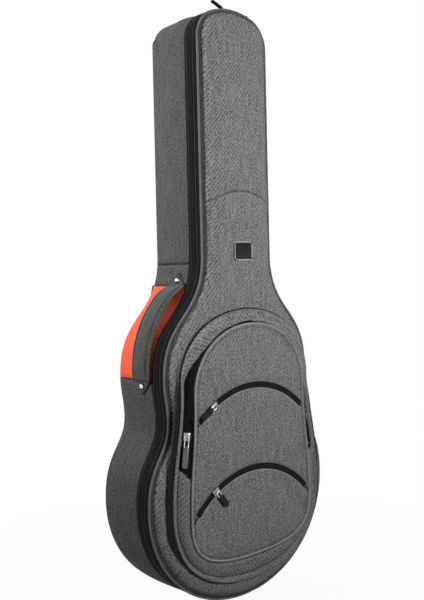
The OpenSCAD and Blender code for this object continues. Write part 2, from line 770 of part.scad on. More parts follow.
// The lid's coil stops short of the run of the two main sliders.
module zip_coil_front() color("black") placed() difference() {
  band(-coil_h, 0, zip_y - coil_reach, zip_y - coil_slot);
  hinge_zone(ply);
  run = (head_r + coil_h) * sin(slider_limit) + slider_l;
  box([-run, -far, head_cz], [run, far, far]);
}
module hinge_strip_front() color("gray") placed() intersection() {
  band(0, fabric_t, tape_front_y, zip_y - coil_slot);
  hinge_zone(0);
}
patch_t = 2.5;
patch_corner = 8;
module patch_shape(in) {
  w = patch_w / 2 - patch_corner;
  h = patch_h / 2 - patch_corner;
  for (x = [-w, w], z = [-h, h]) translate([x, z]) circle(patch_corner - in);
  rectangle(-w, w, -patch_h / 2 + in, patch_h / 2 - in);
  rectangle(-patch_w / 2 + in, patch_w / 2 - in, -h, h);
}
patch_rim = 3;
module front_patch() color("black") placed() translate([0, 0, patch_z]) difference() {
  slab(-dome_h - ply - patch_t, -dome_h - ply) patch_shape(0);
  slab(-far, -dome_h - ply - patch_t / 2) patch_shape(patch_rim);
}

slope_t = 1.6;
tape_start = zip_s - slot_s - coil_s - tape_s;
module pocket_gusset() color("silver") placed() {
  slope_strip([[slope_t / pocket_d, slope_t], [0, 0], [tape_start, 0], [tape_start, slope_t]]);
  intersection() {
    slope_band(tape_start, 1 - piping_s, slope_t);
    below(flap_z - ply);
  }
}
coil_rise = coil_h / run_out[1];
coil_low = zip_s - slot_s;
coil_high = zip_s + slot_s;
module pocket_zip_back() color("black") placed() intersection() {
  slope_strip([
    [tape_start, tape_t], [tape_start, 0], [coil_low - coil_s, 0],
    [coil_low - coil_s, coil_rise], [coil_low, coil_rise], [coil_low, tape_t]
  ]);
  above(flap_z + ply);
}
module pocket_zip_front() color("black") placed() intersection() {
  slope_strip([
    [coil_high, tape_t], [coil_high, coil_rise], [coil_high + coil_s, coil_rise],
    [coil_high + coil_s, 0], [1 - piping_s, 0], [1 - piping_s, tape_t]
  ]);
  above(flap_zip_z);
}
face_t = 1.8;
face_in = piping_d / 2 + ply;
module face_plate() slab(-face_y, -face_y + face_t) polygon(inset(face_line, face_in));
module pocket_face_lower() color("silver") placed() difference() {
  face_plate();
  above(flap_z - ply);
  arch_slot(lower_arch_z, lower_arch_a);
}
module pocket_face_upper() color("silver") placed() difference() {
  face_plate();
  below(flap_z + ply);
  arch_slot(upper_arch_z, upper_arch_a);
}
module face_cord() cord(face_line, 0, -face_y + ply, piping_d / 2);
module pocket_piping_lower() color("lightgray") placed() difference() {
  face_cord();
  above(flap_z - ply);
}
module pocket_piping_upper() color("lightgray") placed() difference() {
  face_cord();
  below(flap_z + ply);
}
module lower_pocket_zip() color("black") placed() arch_zip(lower_arch_z, lower_arch_a);
module upper_pocket_zip() color("black") placed() arch_zip(upper_arch_z, upper_arch_a);

// Sliders, rings and tabs

module main_slider_left() color("black") placed() main_slider(left_slider_at, -1);
module main_ring_left() color("silver") placed() main_axes(left_slider_at, -1)
  rotate([0, -left_lift, 0]) pull_ring(main_ring_l);
module main_tab_left() color("black") placed()
  main_axes(left_slider_at, -1) rotate([0, -left_lift, 0]) pull_tab(main_ring_l, main_tab_l, main_tab_w);
module main_slider_right() color("black") placed() main_slider(right_slider_at, 1);
module main_ring_right() color("silver") placed() main_axes(right_slider_at, 1)
  rotate([0, -right_lift, 0]) pull_ring(main_ring_l);
module main_tab_right() color("black") placed()
  main_axes(right_slider_at, 1) rotate([0, -right_lift, 0]) pull_tab(main_ring_l, main_tab_l, main_tab_w);

module pocket_slider() color("black") placed() {
  on_axes(run_seat, -run_up, run_out) rotate([90, 0, 90])
    translate([0, 0, -slider_l / 2]) linear_extrude(slider_l) slider_section(run_ease);
  pocket_axes() eye();
}
module pocket_ring() color("silver") placed() pocket_axes() pull_ring(pocket_ring_l);
module pocket_tab() color("dimgray") placed()
  pocket_axes() pull_tab(pocket_ring_l, pocket_tab_l, pocket_tab_w);

module upper_slider() color("black") placed() arch_slider(upper_arch_z, upper_tab_way);
module upper_ring() color("silver") placed() arch_axes(upper_arch_z, upper_tab_way) pull_ring(small_ring_l);
module upper_tab() color("black") placed()
  arch_axes(upper_arch_z, upper_tab_way) pull_tab(small_ring_l, small_tab_l, small_tab_w);
module lower_slider() color("black") placed() arch_slider(lower_arch_z, lower_tab_way);
module lower_ring() color("silver") placed() arch_axes(lower_arch_z, lower_tab_way) pull_ring(small_ring_l);
module lower_tab() color("black") placed()
  arch_axes(lower_arch_z, lower_tab_way) pull_tab(small_ring_l, small_tab_l, small_tab_w);

back_panel();
back_foam();
back_lining();
gusset_head();
handle_top_panel();
handle_panel();
gusset_base();
side_foam();
side_lining();
zip_tape_back();
zip_coil_back();
hinge_strip_back();
rubber_feet();
handle_strap();
handle_tabs();
handle_rivets();
shoulder_strap_left();
shoulder_strap_right();
strap_webbing();
strap_buckles();
strap_yoke();
strap_anchors();
hang_loop();
neck_rest();
neck_strap();
end_pad();
front_panel_upper();
front_panel_lower();
front_foam();
front_lining();
front_piping();
zip_tape_front();
zip_coil_front();
hinge_strip_front();
front_patch();
pocket_gusset();
pocket_zip_back();
pocket_face_lower();
pocket_piping_lower();
lower_pocket_zip();
pocket_face_upper();
pocket_piping_upper();
pocket_zip_front();
upper_pocket_zip();
main_slider_left();
main_ring_left();
main_tab_left();
main_slider_right();
main_ring_right();
main_tab_right();
pocket_slider();
pocket_ring();
pocket_tab();
upper_slider();
upper_ring();
upper_tab();
lower_slider();
lower_ring();
lower_tab();
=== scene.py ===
import json
import math

import bmesh
import bpy
import numpy as np
from mathutils import Matrix, Vector
from mathutils.bvhtree import BVHTree
from mathutils.geometry import delaunay_2d_cdt


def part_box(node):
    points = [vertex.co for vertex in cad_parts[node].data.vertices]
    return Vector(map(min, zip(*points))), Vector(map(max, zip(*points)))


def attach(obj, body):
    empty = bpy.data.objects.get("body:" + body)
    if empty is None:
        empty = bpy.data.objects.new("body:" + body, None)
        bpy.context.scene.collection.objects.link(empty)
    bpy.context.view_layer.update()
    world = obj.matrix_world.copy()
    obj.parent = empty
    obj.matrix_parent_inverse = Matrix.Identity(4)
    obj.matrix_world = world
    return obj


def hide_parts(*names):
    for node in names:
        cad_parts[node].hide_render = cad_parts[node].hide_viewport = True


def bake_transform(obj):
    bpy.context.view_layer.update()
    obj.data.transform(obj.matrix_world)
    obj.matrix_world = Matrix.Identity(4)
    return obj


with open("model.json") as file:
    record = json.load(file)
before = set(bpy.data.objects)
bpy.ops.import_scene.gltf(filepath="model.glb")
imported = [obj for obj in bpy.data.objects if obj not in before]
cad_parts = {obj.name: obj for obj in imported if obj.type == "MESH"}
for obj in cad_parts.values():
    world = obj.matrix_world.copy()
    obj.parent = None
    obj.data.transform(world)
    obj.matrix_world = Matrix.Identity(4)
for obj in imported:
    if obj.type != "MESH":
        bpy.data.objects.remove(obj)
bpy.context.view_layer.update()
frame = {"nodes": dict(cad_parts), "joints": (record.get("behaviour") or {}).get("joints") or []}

TURN = 2 * math.pi

# Sizes of the bag in metres. Depths are counted from the front seam, positive towards the back.
BAG_DEPTH = 0.138
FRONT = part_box("back_panel")[1].y - BAG_DEPTH
FABRIC = 0.002
CROWN = 0.016
CROWN_RUN = 0.044
PIPING = 0.005
ZIP_DEPTH = 0.0213
TAPE_WIDTH = 0.016
COIL_HEIGHT = 0.0016
COIL_REACH = 0.0032
COIL_SLOT = 0.0004
SEAM_Z, SEAM_R = 0.762, 0.135
HINGE_LOW, HINGE_HIGH = 0.150, 0.262
GUSSET_START = 0.0376
GUSSET_END = 0.1357
LINING_IN = 0.0166
FACE_DEPTH = 0.0323
FLAP_Z, FLAP_ZIP_Z = 0.272, 0.352
ARCH_R = 0.184
UPPER_ARCH = (0.405, 44)
LOWER_ARCH = (0.253, 48)
HANDLE_TOP, HANDLE_LOW, HANDLE_DEPTH = 0.590, 0.424, 0.060
TOP_PANEL_Z = 0.630
HEAD_TOP, HEAD_R = 1.098, 0.140
HEAD_Z = HEAD_TOP - HEAD_R
BASE_ARCH, FACE_ARCH = (0.157, 0.420), (0.136, 0.400)
POCKET_DEPTH = 0.016
BACK_FACE = 0.1383
SIDE_CLOTH, BAND_CLOTH, LINING_CLOTH, TAPE_CLOTH = 0.0016, 0.0014, 0.0012, 0.001
TOOTH_PITCH = 0.0021
AHEAD, BEHIND = (0.0, -1.0, 0.0), (0.0, 1.0, 0.0)


# Curves and outlines

def bezier(p, t):
    t = np.asarray(t)[:, None]
    a, b, c, d = (np.asarray(q, float) for q in p)
    return (1 - t) ** 3 * a + 3 * (1 - t) ** 2 * t * b + 3 * (1 - t) * t * t * c + t ** 3 * d


def mix(a, b, t):
    return a + (b - a) * t


def quarter(p, q, k):
    return [p, (mix(p[0], q[0], k), p[1]), (q[0], mix(q[1], p[1], k)), q]


def quarter_in(p, q, k):
    return [p, (p[0], mix(p[1], q[1], k)), (mix(q[0], p[0], k), q[1]), q]


def swing(p, q, k, m):
    return [p, (p[0], mix(p[1], q[1], k)), (q[0], mix(q[1], p[1], m)), q]


def arc(cx, cz, r, a0, a1):
    a = np.linspace(a0, a1, 60)
    return np.stack([cx + r * np.cos(a), cz + r * np.sin(a)], 1)


def along(line):
    """Distance along a line of points, from its first point."""
    return np.concatenate([[0], np.cumsum(np.linalg.norm(np.diff(line, axis=0), axis=1))])


def even(line, step):
    """The same line with its points about one step apart."""
    s = along(line)
    at = np.linspace(0, s[-1], max(2, round(s[-1] / step)) + 1)
    return np.stack([np.interp(at, s, line[:, k]) for k in range(line.shape[1])], 1)


def closed(side):
    """A right-hand side from the bottom to the top, with its mirror image back down to the bottom."""
    return np.concatenate([side, (side * [-1, 1])[::-1][1:]])


def outward(line):
    """Normals of a closed line that runs bottom, right, top, left."""
    way = np.roll(line[:-1], -1, 0) - np.roll(line[:-1], 1, 0)
    way = np.concatenate([way, way[:1]])
    way /= np.linalg.norm(way, axis=1)[:, None]
    return np.stack([way[:, 1], -way[:, 0]], 1)


def heading(line):
    """Unit directions along an open line of points."""
    way = np.gradient(line, axis=0)
    return way / np.linalg.norm(way, axis=1)[:, None]


def repeated(way, count):
    """One direction, repeated for each point of a line."""
    return np.tile(np.asarray(way, float), (count, 1))


FINE = np.linspace(0, 1, 80)


def bag_side():
    low, waist, up, neck = (0.217, 0.206), (0.171, 0.352), (0.178, 0.428), (0.085, 0.645)
    corner_r = 0.055
    cx = neck[0] - corner_r
    cz = HEAD_Z + math.sqrt((HEAD_R - corner_r) ** 2 - cx ** 2)
    turn = math.atan2(cz - HEAD_Z, cx)
    return np.concatenate([
        bezier(quarter((0, 0.009), low, 0.57), FINE)[:-1],
        bezier(swing(low, waist, 0.6, 0.36), FINE)[:-1],
        bezier(swing(waist, up, 0.45, 0.45), FINE)[:-1],
        bezier(swing(up, neck, 0.52, 0.52), FINE),
        arc(cx, cz, corner_r, 0, turn)[:-1],
        arc(0, HEAD_Z, HEAD_R, turn, math.pi / 2),
    ])


def pocket_side(low, wide, arch, top, bulge, shoulder):
    return np.concatenate([
        bezier(quarter((0, low), wide, bulge), FINE)[:-1],
        bezier(swing(wide, arch, 0.4, 0.4), FINE)[:-1],
        bezier(quarter_in(arch, (0, top), shoulder), FINE),
    ])


BAG = even(closed(bag_side()), 0.004)
BAG_OUT = outward(BAG)
BAG_S = along(BAG)
TOP_S = BAG_S[-1] / 2
SLOPE_STEP = 3
BASE = closed(pocket_side(0.046, (0.182, 0.200), BASE_ARCH, 0.545, 0.62, 0.58)[::SLOPE_STEP])
FACE = closed(pocket_side(0.094, (0.150, 0.180), FACE_ARCH, 0.518, 0.75, 0.58)[::SLOPE_STEP])
MIDWAY = mix(BASE, FACE, 0.5)


def side_s(z, side):
    """Distance along the bag's outline of a height on the right (1) or left (-1) side."""
    half = len(BAG) // 2
    span = slice(0, half + 1) if side > 0 else slice(half, len(BAG))
    zs, ss = BAG[span, 1], BAG_S[span]
    return float(np.interp(z, zs, ss) if side > 0 else np.interp(-z, -zs, ss))


def side_half(z):
    """Half of the bag's width at a height."""
    half = len(BAG) // 2
    return np.interp(z, BAG[:half, 1], BAG[:half, 0])


def bag_at(s):
    """Points and normals of the bag's outline at distances s, which may run past its start or end."""
    s = np.asarray(s) % BAG_S[-1]
    point = np.stack([np.interp(s, BAG_S, BAG[:, k]) for k in (0, 1)], 1)
    normal = np.stack([np.interp(s, BAG_S, BAG_OUT[:, k]) for k in (0, 1)], 1)
    return point, normal / np.linalg.norm(normal, axis=1)[:, None]


def nearest(points, line):
    """Distance of each flat point to a line of points."""
    best = np.full(len(points), 1e9)
    for a, b in zip(line[:-1], line[1:]):
        w = b - a
        t = np.clip((points - a) @ w / max(w @ w, 1e-12), 0, 1)
        best = np.minimum(best, np.linalg.norm(points - a - t[:, None] * w, axis=1))
    return best


def smooth(t):
    """Eases a share from 0 to 1 at both ends."""
    return t * t * (3 - 2 * t)


NOISE_CELLS = 64


def soft_noise(u, v, seed):
    """Smooth noise from -1 to 1 with one bump per unit."""
    table = np.random.default_rng(seed).uniform(-1, 1, (NOISE_CELLS, NOISE_CELLS))
    u, v = np.asarray(u, float), np.asarray(v, float)
    iu, iv = np.floor(u).astype(int), np.floor(v).astype(int)
    fu, fv = smooth(u - iu), smooth(v - iv)

    def at(i, j):
        return table[(iu + i) % NOISE_CELLS, (iv + j) % NOISE_CELLS]
    return mix(mix(at(0, 0), at(1, 0), fu), mix(at(0, 1), at(1, 1), fu), fv)


def bump(x, width):
    """1 at zero, falling smoothly to 0 at the given width."""
    return smooth(np.clip(1 - np.abs(x) / width, 0, 1))


def rounded(t):
    """Height of a quarter circle: 0 at 0, rising steeply, and 1 at 1."""
    return np.sqrt(np.clip(1 - (1 - t) ** 2, 0, 1))


# Meshes

def new_mesh(name, verts, faces, corner_uv=None):
    mesh = bpy.data.meshes.new(name)
    mesh.from_pydata([tuple(map(float, v)) for v in verts], [], [tuple(map(int, f)) for f in faces])
    if corner_uv is not None:
        layer = mesh.uv_layers.new(name="cloth")
        layer.data.foreach_set("uv", np.asarray(corner_uv, np.float32).ravel())
    mesh.update()
    piece = bpy.data.objects.new(name, mesh)
    bpy.context.scene.collection.objects.link(piece)
    mesh.polygons.foreach_set("use_smooth", [True] * len(mesh.polygons))
    return piece


def strip(name, rows, u, v, loop=False, tube=False):
    """A woven strip: rows of points along it, with the cloth's distance along (u) and across (v)."""
    rows = np.asarray(rows, float)
    n, m = rows.shape[:2]
    faces, uvs = [], []
    for i in range(n if loop else n - 1):
        k = (i + 1) % n
        for j in range(m if tube else m - 1):
            h = (j + 1) % m
            faces.append((i * m + j, i * m + h, k * m + h, k * m + j))
            u1, v1 = u[i + 1], v[j + 1]
            uvs += [(v[j], u[i]), (v1, u[i]), (v1, u1), (v[j], u1)]
    return new_mesh(name, rows.reshape(-1, 3), faces, uvs)


def select(piece):
    bpy.ops.object.select_all(action="DESELECT")
    bpy.context.view_layer.objects.active = piece
    piece.select_set(True)


def apply(piece, kind, **settings):
    select(piece)
    modifier = piece.modifiers.new(kind.lower(), kind)
    for key, value in settings.items():
        setattr(modifier, key, value)
    bpy.ops.object.modifier_apply(modifier=modifier.name)
    return piece


def thicken(piece, thickness):
    """Gives a sheet its thickness on its inner side."""
    return apply(piece, "SOLIDIFY", thickness=thickness, offset=-1, use_even_offset=False)


def start_edit(piece):
    """Opens a piece in edit mode with all of its mesh selected."""
    select(piece)
    bpy.ops.object.mode_set(mode="EDIT")
    bpy.ops.mesh.select_all(action="SELECT")


def end_edit():
    bpy.ops.object.mode_set(mode="OBJECT")


def faced(piece):
    """Turns all faces of closed shells outwards."""
    start_edit(piece)
    bpy.ops.mesh.normals_make_consistent(inside=False)
    end_edit()
    return piece


def close_ends(piece):
    """Fills the open ends of a tube."""
    start_edit(piece)
    bpy.ops.mesh.select_mode(type="VERT")
    bpy.ops.mesh.select_all(action="DESELECT")
    bpy.ops.mesh.select_non_manifold()
    bpy.ops.mesh.edge_face_add()
    end_edit()


def to_back(piece):
    """Turns a sheet's faces over, to the back or the inside."""
    piece.data.flip_normals()
    return piece


def coords(piece):
    co = np.zeros(len(piece.data.vertices) * 3)
    piece.data.vertices.foreach_get("co", co)
    return co.reshape(-1, 3)


def set_coords(piece, co):
    piece.data.vertices.foreach_set("co", np.asarray(co, float).ravel())
    piece.data.update()


def joined(name, pieces):
    """Joins pieces of one finish into the first one."""
    bpy.ops.object.select_all(action="DESELECT")
    for piece in pieces:
        piece.select_set(True)
    bpy.context.view_layer.objects.active = pieces[0]
    bpy.ops.object.join()
    pieces[0].name = name
    return pieces[0]


def dress(piece, finish, slot, body, *nodes):
    """Gives a finished piece its material, the body that it moves with and the nodes it stands for."""
    piece.data.materials.clear()
    piece.data.materials.append(finish)
    if body:
        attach(piece, body)
    if nodes:
        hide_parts(*nodes)
    return piece


# Finishes

def group(name, inputs, outputs):
    tree = bpy.data.node_groups.new(name, "ShaderNodeTree")
    for label, kind in inputs:
        tree.interface.new_socket(label, in_out="INPUT", socket_type=kind)
    for label, kind in outputs:
        tree.interface.new_socket(label, in_out="OUTPUT", socket_type=kind)
    return tree, tree.nodes.new("NodeGroupInput"), tree.nodes.new("NodeGroupOutput")


def put(tree, kind, **settings):
    node = tree.nodes.new(kind)
    for key, value in settings.items():
        if key.startswith("in_"):
            node.inputs[int(key[3:])].default_value = value
        else:
            setattr(node, key, value)
    return node


def calc(tree, operation, a, b=None, c=None):
    node = tree.nodes.new("ShaderNodeMath")
    node.operation = operation
    for k, value in enumerate((a, b, c)):
        if value is None:
            continue
        if isinstance(value, (int, float)):
            node.inputs[k].default_value = value
        else:
            tree.links.new(value, node.inputs[k])
    return node.outputs[0]


def scaled(tree, vector, size):
    node = put(tree, "ShaderNodeVectorMath", operation="MULTIPLY")
    node.inputs[1].default_value = size
    tree.links.new(vector, node.inputs[0])
    return node.outputs[0]


def noise(tree, vector, scale, detail, roughness):
    node = put(tree, "ShaderNodeTexNoise")
    node.inputs["Scale"].default_value = scale
    node.inputs["Detail"].default_value = detail
    node.inputs["Roughness"].default_value = roughness
    tree.links.new(vector, node.inputs["Vector"])
    return node.outputs["Fac"]


def blend_colour(tree, factor, a, b):
    node = put(tree, "ShaderNodeMix", data_type="RGBA")
    tree.links.new(factor, node.inputs[0])
    for value, place in ((a, 6), (b, 7)):
        if hasattr(value, "is_output"):
            tree.links.new(value, node.inputs[place])
        else:
            node.inputs[place].default_value = value
    return node.outputs[2]


def melange_group():
    """Flecked yarns of a two-tone weave. Cloth is the distance in metres across and along the fabric."""
    tree, start, end = group(
        "melange", [("Cloth", "NodeSocketVector"), ("Dark", "NodeSocketColor"), ("Light", "NodeSocketColor"),
                    ("Yarns", "NodeSocketFloat"), ("Contrast", "NodeSocketFloat")],
        [("Colour", "NodeSocketColor"), ("Height", "NodeSocketFloat")])
    cloth = start.outputs["Cloth"]
    warp = noise(tree, scaled(tree, cloth, (1.0, 0.28, 1.0)), 640.0, 2.0, 0.7)
    weft = noise(tree, scaled(tree, cloth, (0.28, 1.0, 1.0)), 640.0, 2.0, 0.7)
    cloud = noise(tree, scaled(tree, cloth, (1.0, 0.8, 1.0)), 470.0, 2.0, 0.7)
    slub = noise(tree, scaled(tree, cloth, (1.0, 0.10, 1.0)), 240.0, 1.0, 0.5)
    part = put(tree, "ShaderNodeSeparateXYZ")
    tree.links.new(cloth, part.inputs[0])
    across = calc(tree, "MULTIPLY", part.outputs[0], start.outputs["Yarns"])
    up = calc(tree, "MULTIPLY", part.outputs[1], start.outputs["Yarns"])
    over = calc(tree, "MULTIPLY", calc(tree, "SINE", across), calc(tree, "SINE", up))
    on_top = calc(tree, "MULTIPLY_ADD", over, 0.5, 0.5)
    fleck = calc(tree, "ADD", calc(tree, "MULTIPLY", warp, on_top),
                 calc(tree, "MULTIPLY", weft, calc(tree, "SUBTRACT", 1.0, on_top)))
    tone = calc(tree, "ADD", fleck, calc(tree, "MULTIPLY", calc(tree, "SUBTRACT", cloud, 0.5), 0.68))
    tone = calc(tree, "ADD", tone, calc(tree, "MULTIPLY", calc(tree, "SUBTRACT", slub, 0.5), 0.20))
    diagonal = calc(tree, "SUBTRACT", across, calc(tree, "MULTIPLY", up, 0.8))
    twill = calc(tree, "SINE", calc(tree, "MULTIPLY", diagonal, 0.31))
    tone = calc(tree, "MULTIPLY_ADD", twill, 0.05, tone)
    spread = calc(tree, "MULTIPLY_ADD", calc(tree, "SUBTRACT", tone, 0.5), start.outputs["Contrast"], 0.5)
    ramp = put(tree, "ShaderNodeClamp")
    tree.links.new(spread, ramp.inputs[0])
    tree.links.new(blend_colour(tree, ramp.outputs[0], start.outputs["Dark"], start.outputs["Light"]),
                   end.inputs["Colour"])
    tree.links.new(calc(tree, "ADD", on_top, calc(tree, "MULTIPLY", fleck, 0.8)), end.inputs["Height"])
    return tree


def rib_group():
    """Close ribs of a woven tape or webbing, with a little lint on them."""
    tree, start, end = group(
        "ribs", [("Cloth", "NodeSocketVector"), ("Dark", "NodeSocketColor"), ("Light", "NodeSocketColor"),
                 ("Along", "NodeSocketFloat"), ("Across", "NodeSocketFloat")],
        [("Colour", "NodeSocketColor"), ("Height", "NodeSocketFloat")])
    cloth = start.outputs["Cloth"]
    part = put(tree, "ShaderNodeSeparateXYZ")
    tree.links.new(cloth, part.inputs[0])
    a = calc(tree, "SINE", calc(tree, "MULTIPLY", part.outputs[0], start.outputs["Across"]))
    b = calc(tree, "SINE", calc(tree, "MULTIPLY", part.outputs[1], start.outputs["Along"]))
    rib = calc(tree, "MULTIPLY_ADD", calc(tree, "MULTIPLY", a, b), 0.5, 0.5)
    lint = noise(tree, cloth, 900.0, 3.0, 0.7)
    tone = calc(tree, "ADD", calc(tree, "MULTIPLY", rib, 0.55), calc(tree, "MULTIPLY", lint, 0.55))
    colour = blend_colour(tree, tone, start.outputs["Dark"], start.outputs["Light"])
    tree.links.new(colour, end.inputs["Colour"])
    tree.links.new(calc(tree, "ADD", rib, calc(tree, "MULTIPLY", lint, 0.3)), end.inputs["Height"])
    return tree


def grain_group():
    """Fine grain of a moulded, cast or felted surface: a mask for wear and a height."""
    tree, start, end = group(
        "grain", [("Place", "NodeSocketVector"), ("Fine", "NodeSocketFloat"), ("Broad", "NodeSocketFloat")],
        [("Wear", "NodeSocketFloat"), ("Height", "NodeSocketFloat")])
    for label, socket, detail in (("Fine", "Height", 3.0), ("Broad", "Wear", 4.0)):
        node = put(tree, "ShaderNodeTexNoise")
        node.inputs["Detail"].default_value = detail
        tree.links.new(start.outputs["Place"], node.inputs["Vector"])
        tree.links.new(start.outputs[label], node.inputs["Scale"])
        tree.links.new(node.outputs["Fac"], end.inputs[socket])
    return tree


MELANGE, RIBS, GRAIN = melange_group(), rib_group(), grain_group()


def grey(value, tint=(1.0, 1.0, 1.0)):
    return tuple(value * t for t in tint) + (1.0,)


def finish_of(name, tree_group, place, inputs, roughness, bump_height, metallic=0.0, sheen=0.0,
              colour_pair=None, specular=0.5):
    """A finish from one of the groups. place is the UV map of a cloth or the object's own coordinates."""
    material = bpy.data.materials.new(name)
    material.use_nodes = True
    tree = material.node_tree
    shader = tree.nodes["Principled BSDF"]
    shader.inputs["Metallic"].default_value = metallic
    shader.inputs["Roughness"].default_value = roughness
    shader.inputs["Specular IOR Level"].default_value = specular
    if sheen:
        shader.inputs["Sheen Weight"].default_value = sheen
        shader.inputs["Sheen Roughness"].default_value = 0.5
    pattern = tree.nodes.new("ShaderNodeGroup")
    pattern.node_tree = tree_group
    if place == "cloth":
        where = put(tree, "ShaderNodeUVMap", uv_map="cloth").outputs[0]
    else:
        where = tree.nodes.new("ShaderNodeTexCoord").outputs["Object"]
    tree.links.new(where, pattern.inputs[0])
    for label, value in inputs.items():
        pattern.inputs[label].default_value = value
    if "Colour" in pattern.outputs:
        tree.links.new(pattern.outputs["Colour"], shader.inputs["Base Color"])
    else:
        colour = blend_colour(tree, pattern.outputs["Wear"], *colour_pair)
        tree.links.new(colour, shader.inputs["Base Color"])
        spread = calc(tree, "MULTIPLY_ADD", pattern.outputs["Wear"], 0.25, roughness - 0.12)
        tree.links.new(spread, shader.inputs["Roughness"])
    relief = put(tree, "ShaderNodeBump")
    relief.inputs["Strength"].default_value = 0.55
    relief.inputs["Distance"].default_value = bump_height
    tree.links.new(pattern.outputs["Height"], relief.inputs["Height"])
    tree.links.new(relief.outputs[0], shader.inputs["Normal"])
    return material


WARM, COOL = (1.0, 1.012, 0.985), (1, 1, 1.03)
YARN, CORAL_YARN = TURN / 0.0022, TURN / 0.0018


def melange(name, dark, light, contrast):
    return finish_of(name, MELANGE, "cloth", {"Dark": grey(dark, WARM), "Light": grey(light, WARM),
                                              "Yarns": YARN, "Contrast": contrast}, 0.88, 0.00028,
                     sheen=0.03, specular=0.08)


def ribbed(name, dark, light, along_pitch, across_pitch):
    return finish_of(name, RIBS, "cloth", {"Dark": grey(dark, COOL), "Light": grey(light, COOL),
                                           "Along": TURN / along_pitch, "Across": TURN / across_pitch},
                     0.75, 0.0004, specular=0.03)


def moulded(name, dark, light, roughness, fine=2600.0, broad=120.0, metallic=0.0, bump_height=0.00008,
            specular=0.15):
    return finish_of(name, GRAIN, "object", {"Fine": fine, "Broad": broad}, roughness, bump_height, metallic,
                     colour_pair=(grey(dark), grey(light)), specular=specular)


GREY_FRONT = melange("melange_front", 0.060, 0.328, contrast=3.6)
GREY_SIDE = melange("melange_side", 0.033, 0.150, contrast=3.4)
GREY_STRAP = melange("melange_strap", 0.024, 0.160, contrast=2.0)
GREY_PIPING = melange("melange_piping", 0.075, 0.23, contrast=1.5)
PALE_PIPING = melange("melange_pale_piping", 0.17, 0.44, contrast=1.3)
CORAL = finish_of("coral_cloth", MELANGE, "cloth", {
    "Dark": (0.87, 0.094, 0.041, 1), "Light": (0.99, 0.168, 0.081, 1), "Yarns": CORAL_YARN,
    "Contrast": 1.0}, 0.85, 0.0003, sheen=0.05, specular=0.25)
TAPE = ribbed("zip_tape_black", 0.004, 0.020, 0.0011, 0.0026)
WELT = ribbed("zip_welt_grey", 0.030, 0.085, 0.0011, 0.0026)
WEBBING = ribbed("webbing_black", 0.008, 0.045, 0.0016, 0.0032)
THREAD_DARK = moulded("thread_dark", 0.004, 0.014, 0.8, fine=4000.0)
COIL = moulded("zip_coil_black", 0.006, 0.02, 0.42)
RUBBER = moulded("rubber_black", 0.004, 0.012, 0.50, fine=3200.0, bump_height=0.00010)
BUCKLE = moulded("buckle_black", 0.010, 0.03, 0.45)
NICKEL = moulded("nickel", 0.55, 0.72, 0.24, specular=0.5, metallic=1.0, bump_height=0.00002)
PATCH_PLATE = moulded("patch_plate", 0.003, 0.009, 0.55)
PATCH_RIM = moulded("patch_rim", 0.27, 0.40, 0.5)
PLUSH = moulded("plush_lining", 0.045, 0.11, 0.95, fine=1500.0, broad=60.0, bump_height=0.0006)
SLIDER = moulded("slider_nickel", 0.20, 0.34, 0.30, specular=0.5, metallic=0.95, bump_height=0.00002)
STEEL_TAB = moulded("pull_tab_steel", 0.07, 0.13, 0.36, specular=0.5, metallic=0.85, bump_height=0.00003)
THREAD_GREY = moulded("thread_grey", 0.12, 0.22, 0.7, fine=4000.0)


# Stage, light and camera

def aim(obj, target):
    obj.rotation_mode = "QUATERNION"
    obj.rotation_quaternion = (Vector(target) - obj.location).to_track_quat("-Z", "Y")


def lamp(name, place, target, size, power, spread):
    data = bpy.data.lights.new(name, "AREA")
    data.shape = "DISK"
    data.size = size
    data.energy = power
    data.spread = math.radians(spread)
    obj = bpy.data.objects.new(name, data)
    bpy.context.scene.collection.objects.link(obj)
    obj.location = place
    aim(obj, target)


def pale(tree, shader_in, white):
    """Shows a plain white to the camera, mirrors and glass, and the given shader to everything else."""
    path = tree.nodes.new("ShaderNodeLightPath")
    seen = calc(tree, "MAXIMUM", path.outputs["Is Camera Ray"], calc(
        tree, "MAXIMUM", path.outputs["Is Glossy Ray"], path.outputs["Is Transmission Ray"]))
    joint = tree.nodes.new("ShaderNodeMixShader")
    tree.links.new(seen, joint.inputs[0])
    tree.links.new(shader_in, joint.inputs[1])
    tree.links.new(white, joint.inputs[2])
    return joint.outputs[0]


# Each lamp's place, the point it is aimed at, its size, its power and its spread in degrees.
LAMPS = {
    "key": ((0.25, -1.97, 1.20), (0, 0, 0.73), 1.1, 5.4, 60),
    "side": ((-2.2, 0.75, 1.5), (0, 0, 0.88), 0.7, 6.4, 55),
    "top": ((-0.3, -0.2, 2.6), (0, 0, 0.9), 1.0, 0.5, 180),
    "back": ((0.2, 2.4, 1.5), (0, 0, 0.62), 1.6, 42, 180),
}
WHITE = (1, 1, 1, 1)
WORLD_STRENGTH = 0.10
# Distances from the bag's middle between which the floor turns to plain white, and the share of white at each.
FLOOR_NEAR, FLOOR_FAR, FLOOR_WHITE, FLOOR_FULL = 0.25, 0.95, 0.94, 1.0
# What the floor gives back to the bag.
FLOOR_BOUNCE = 0.28
# The camera: its turns in degrees, and its focal length and shift in pixels of a picture 600 high.
CAMERA_AT = (-1.0354, -1.1712, 0.6256)
CAMERA_TURNS = (41.322, -0.989, -1.338)
PICTURE_HEIGHT, FOCAL, SHIFT = 600, 811.4, -20
SENSOR = 36


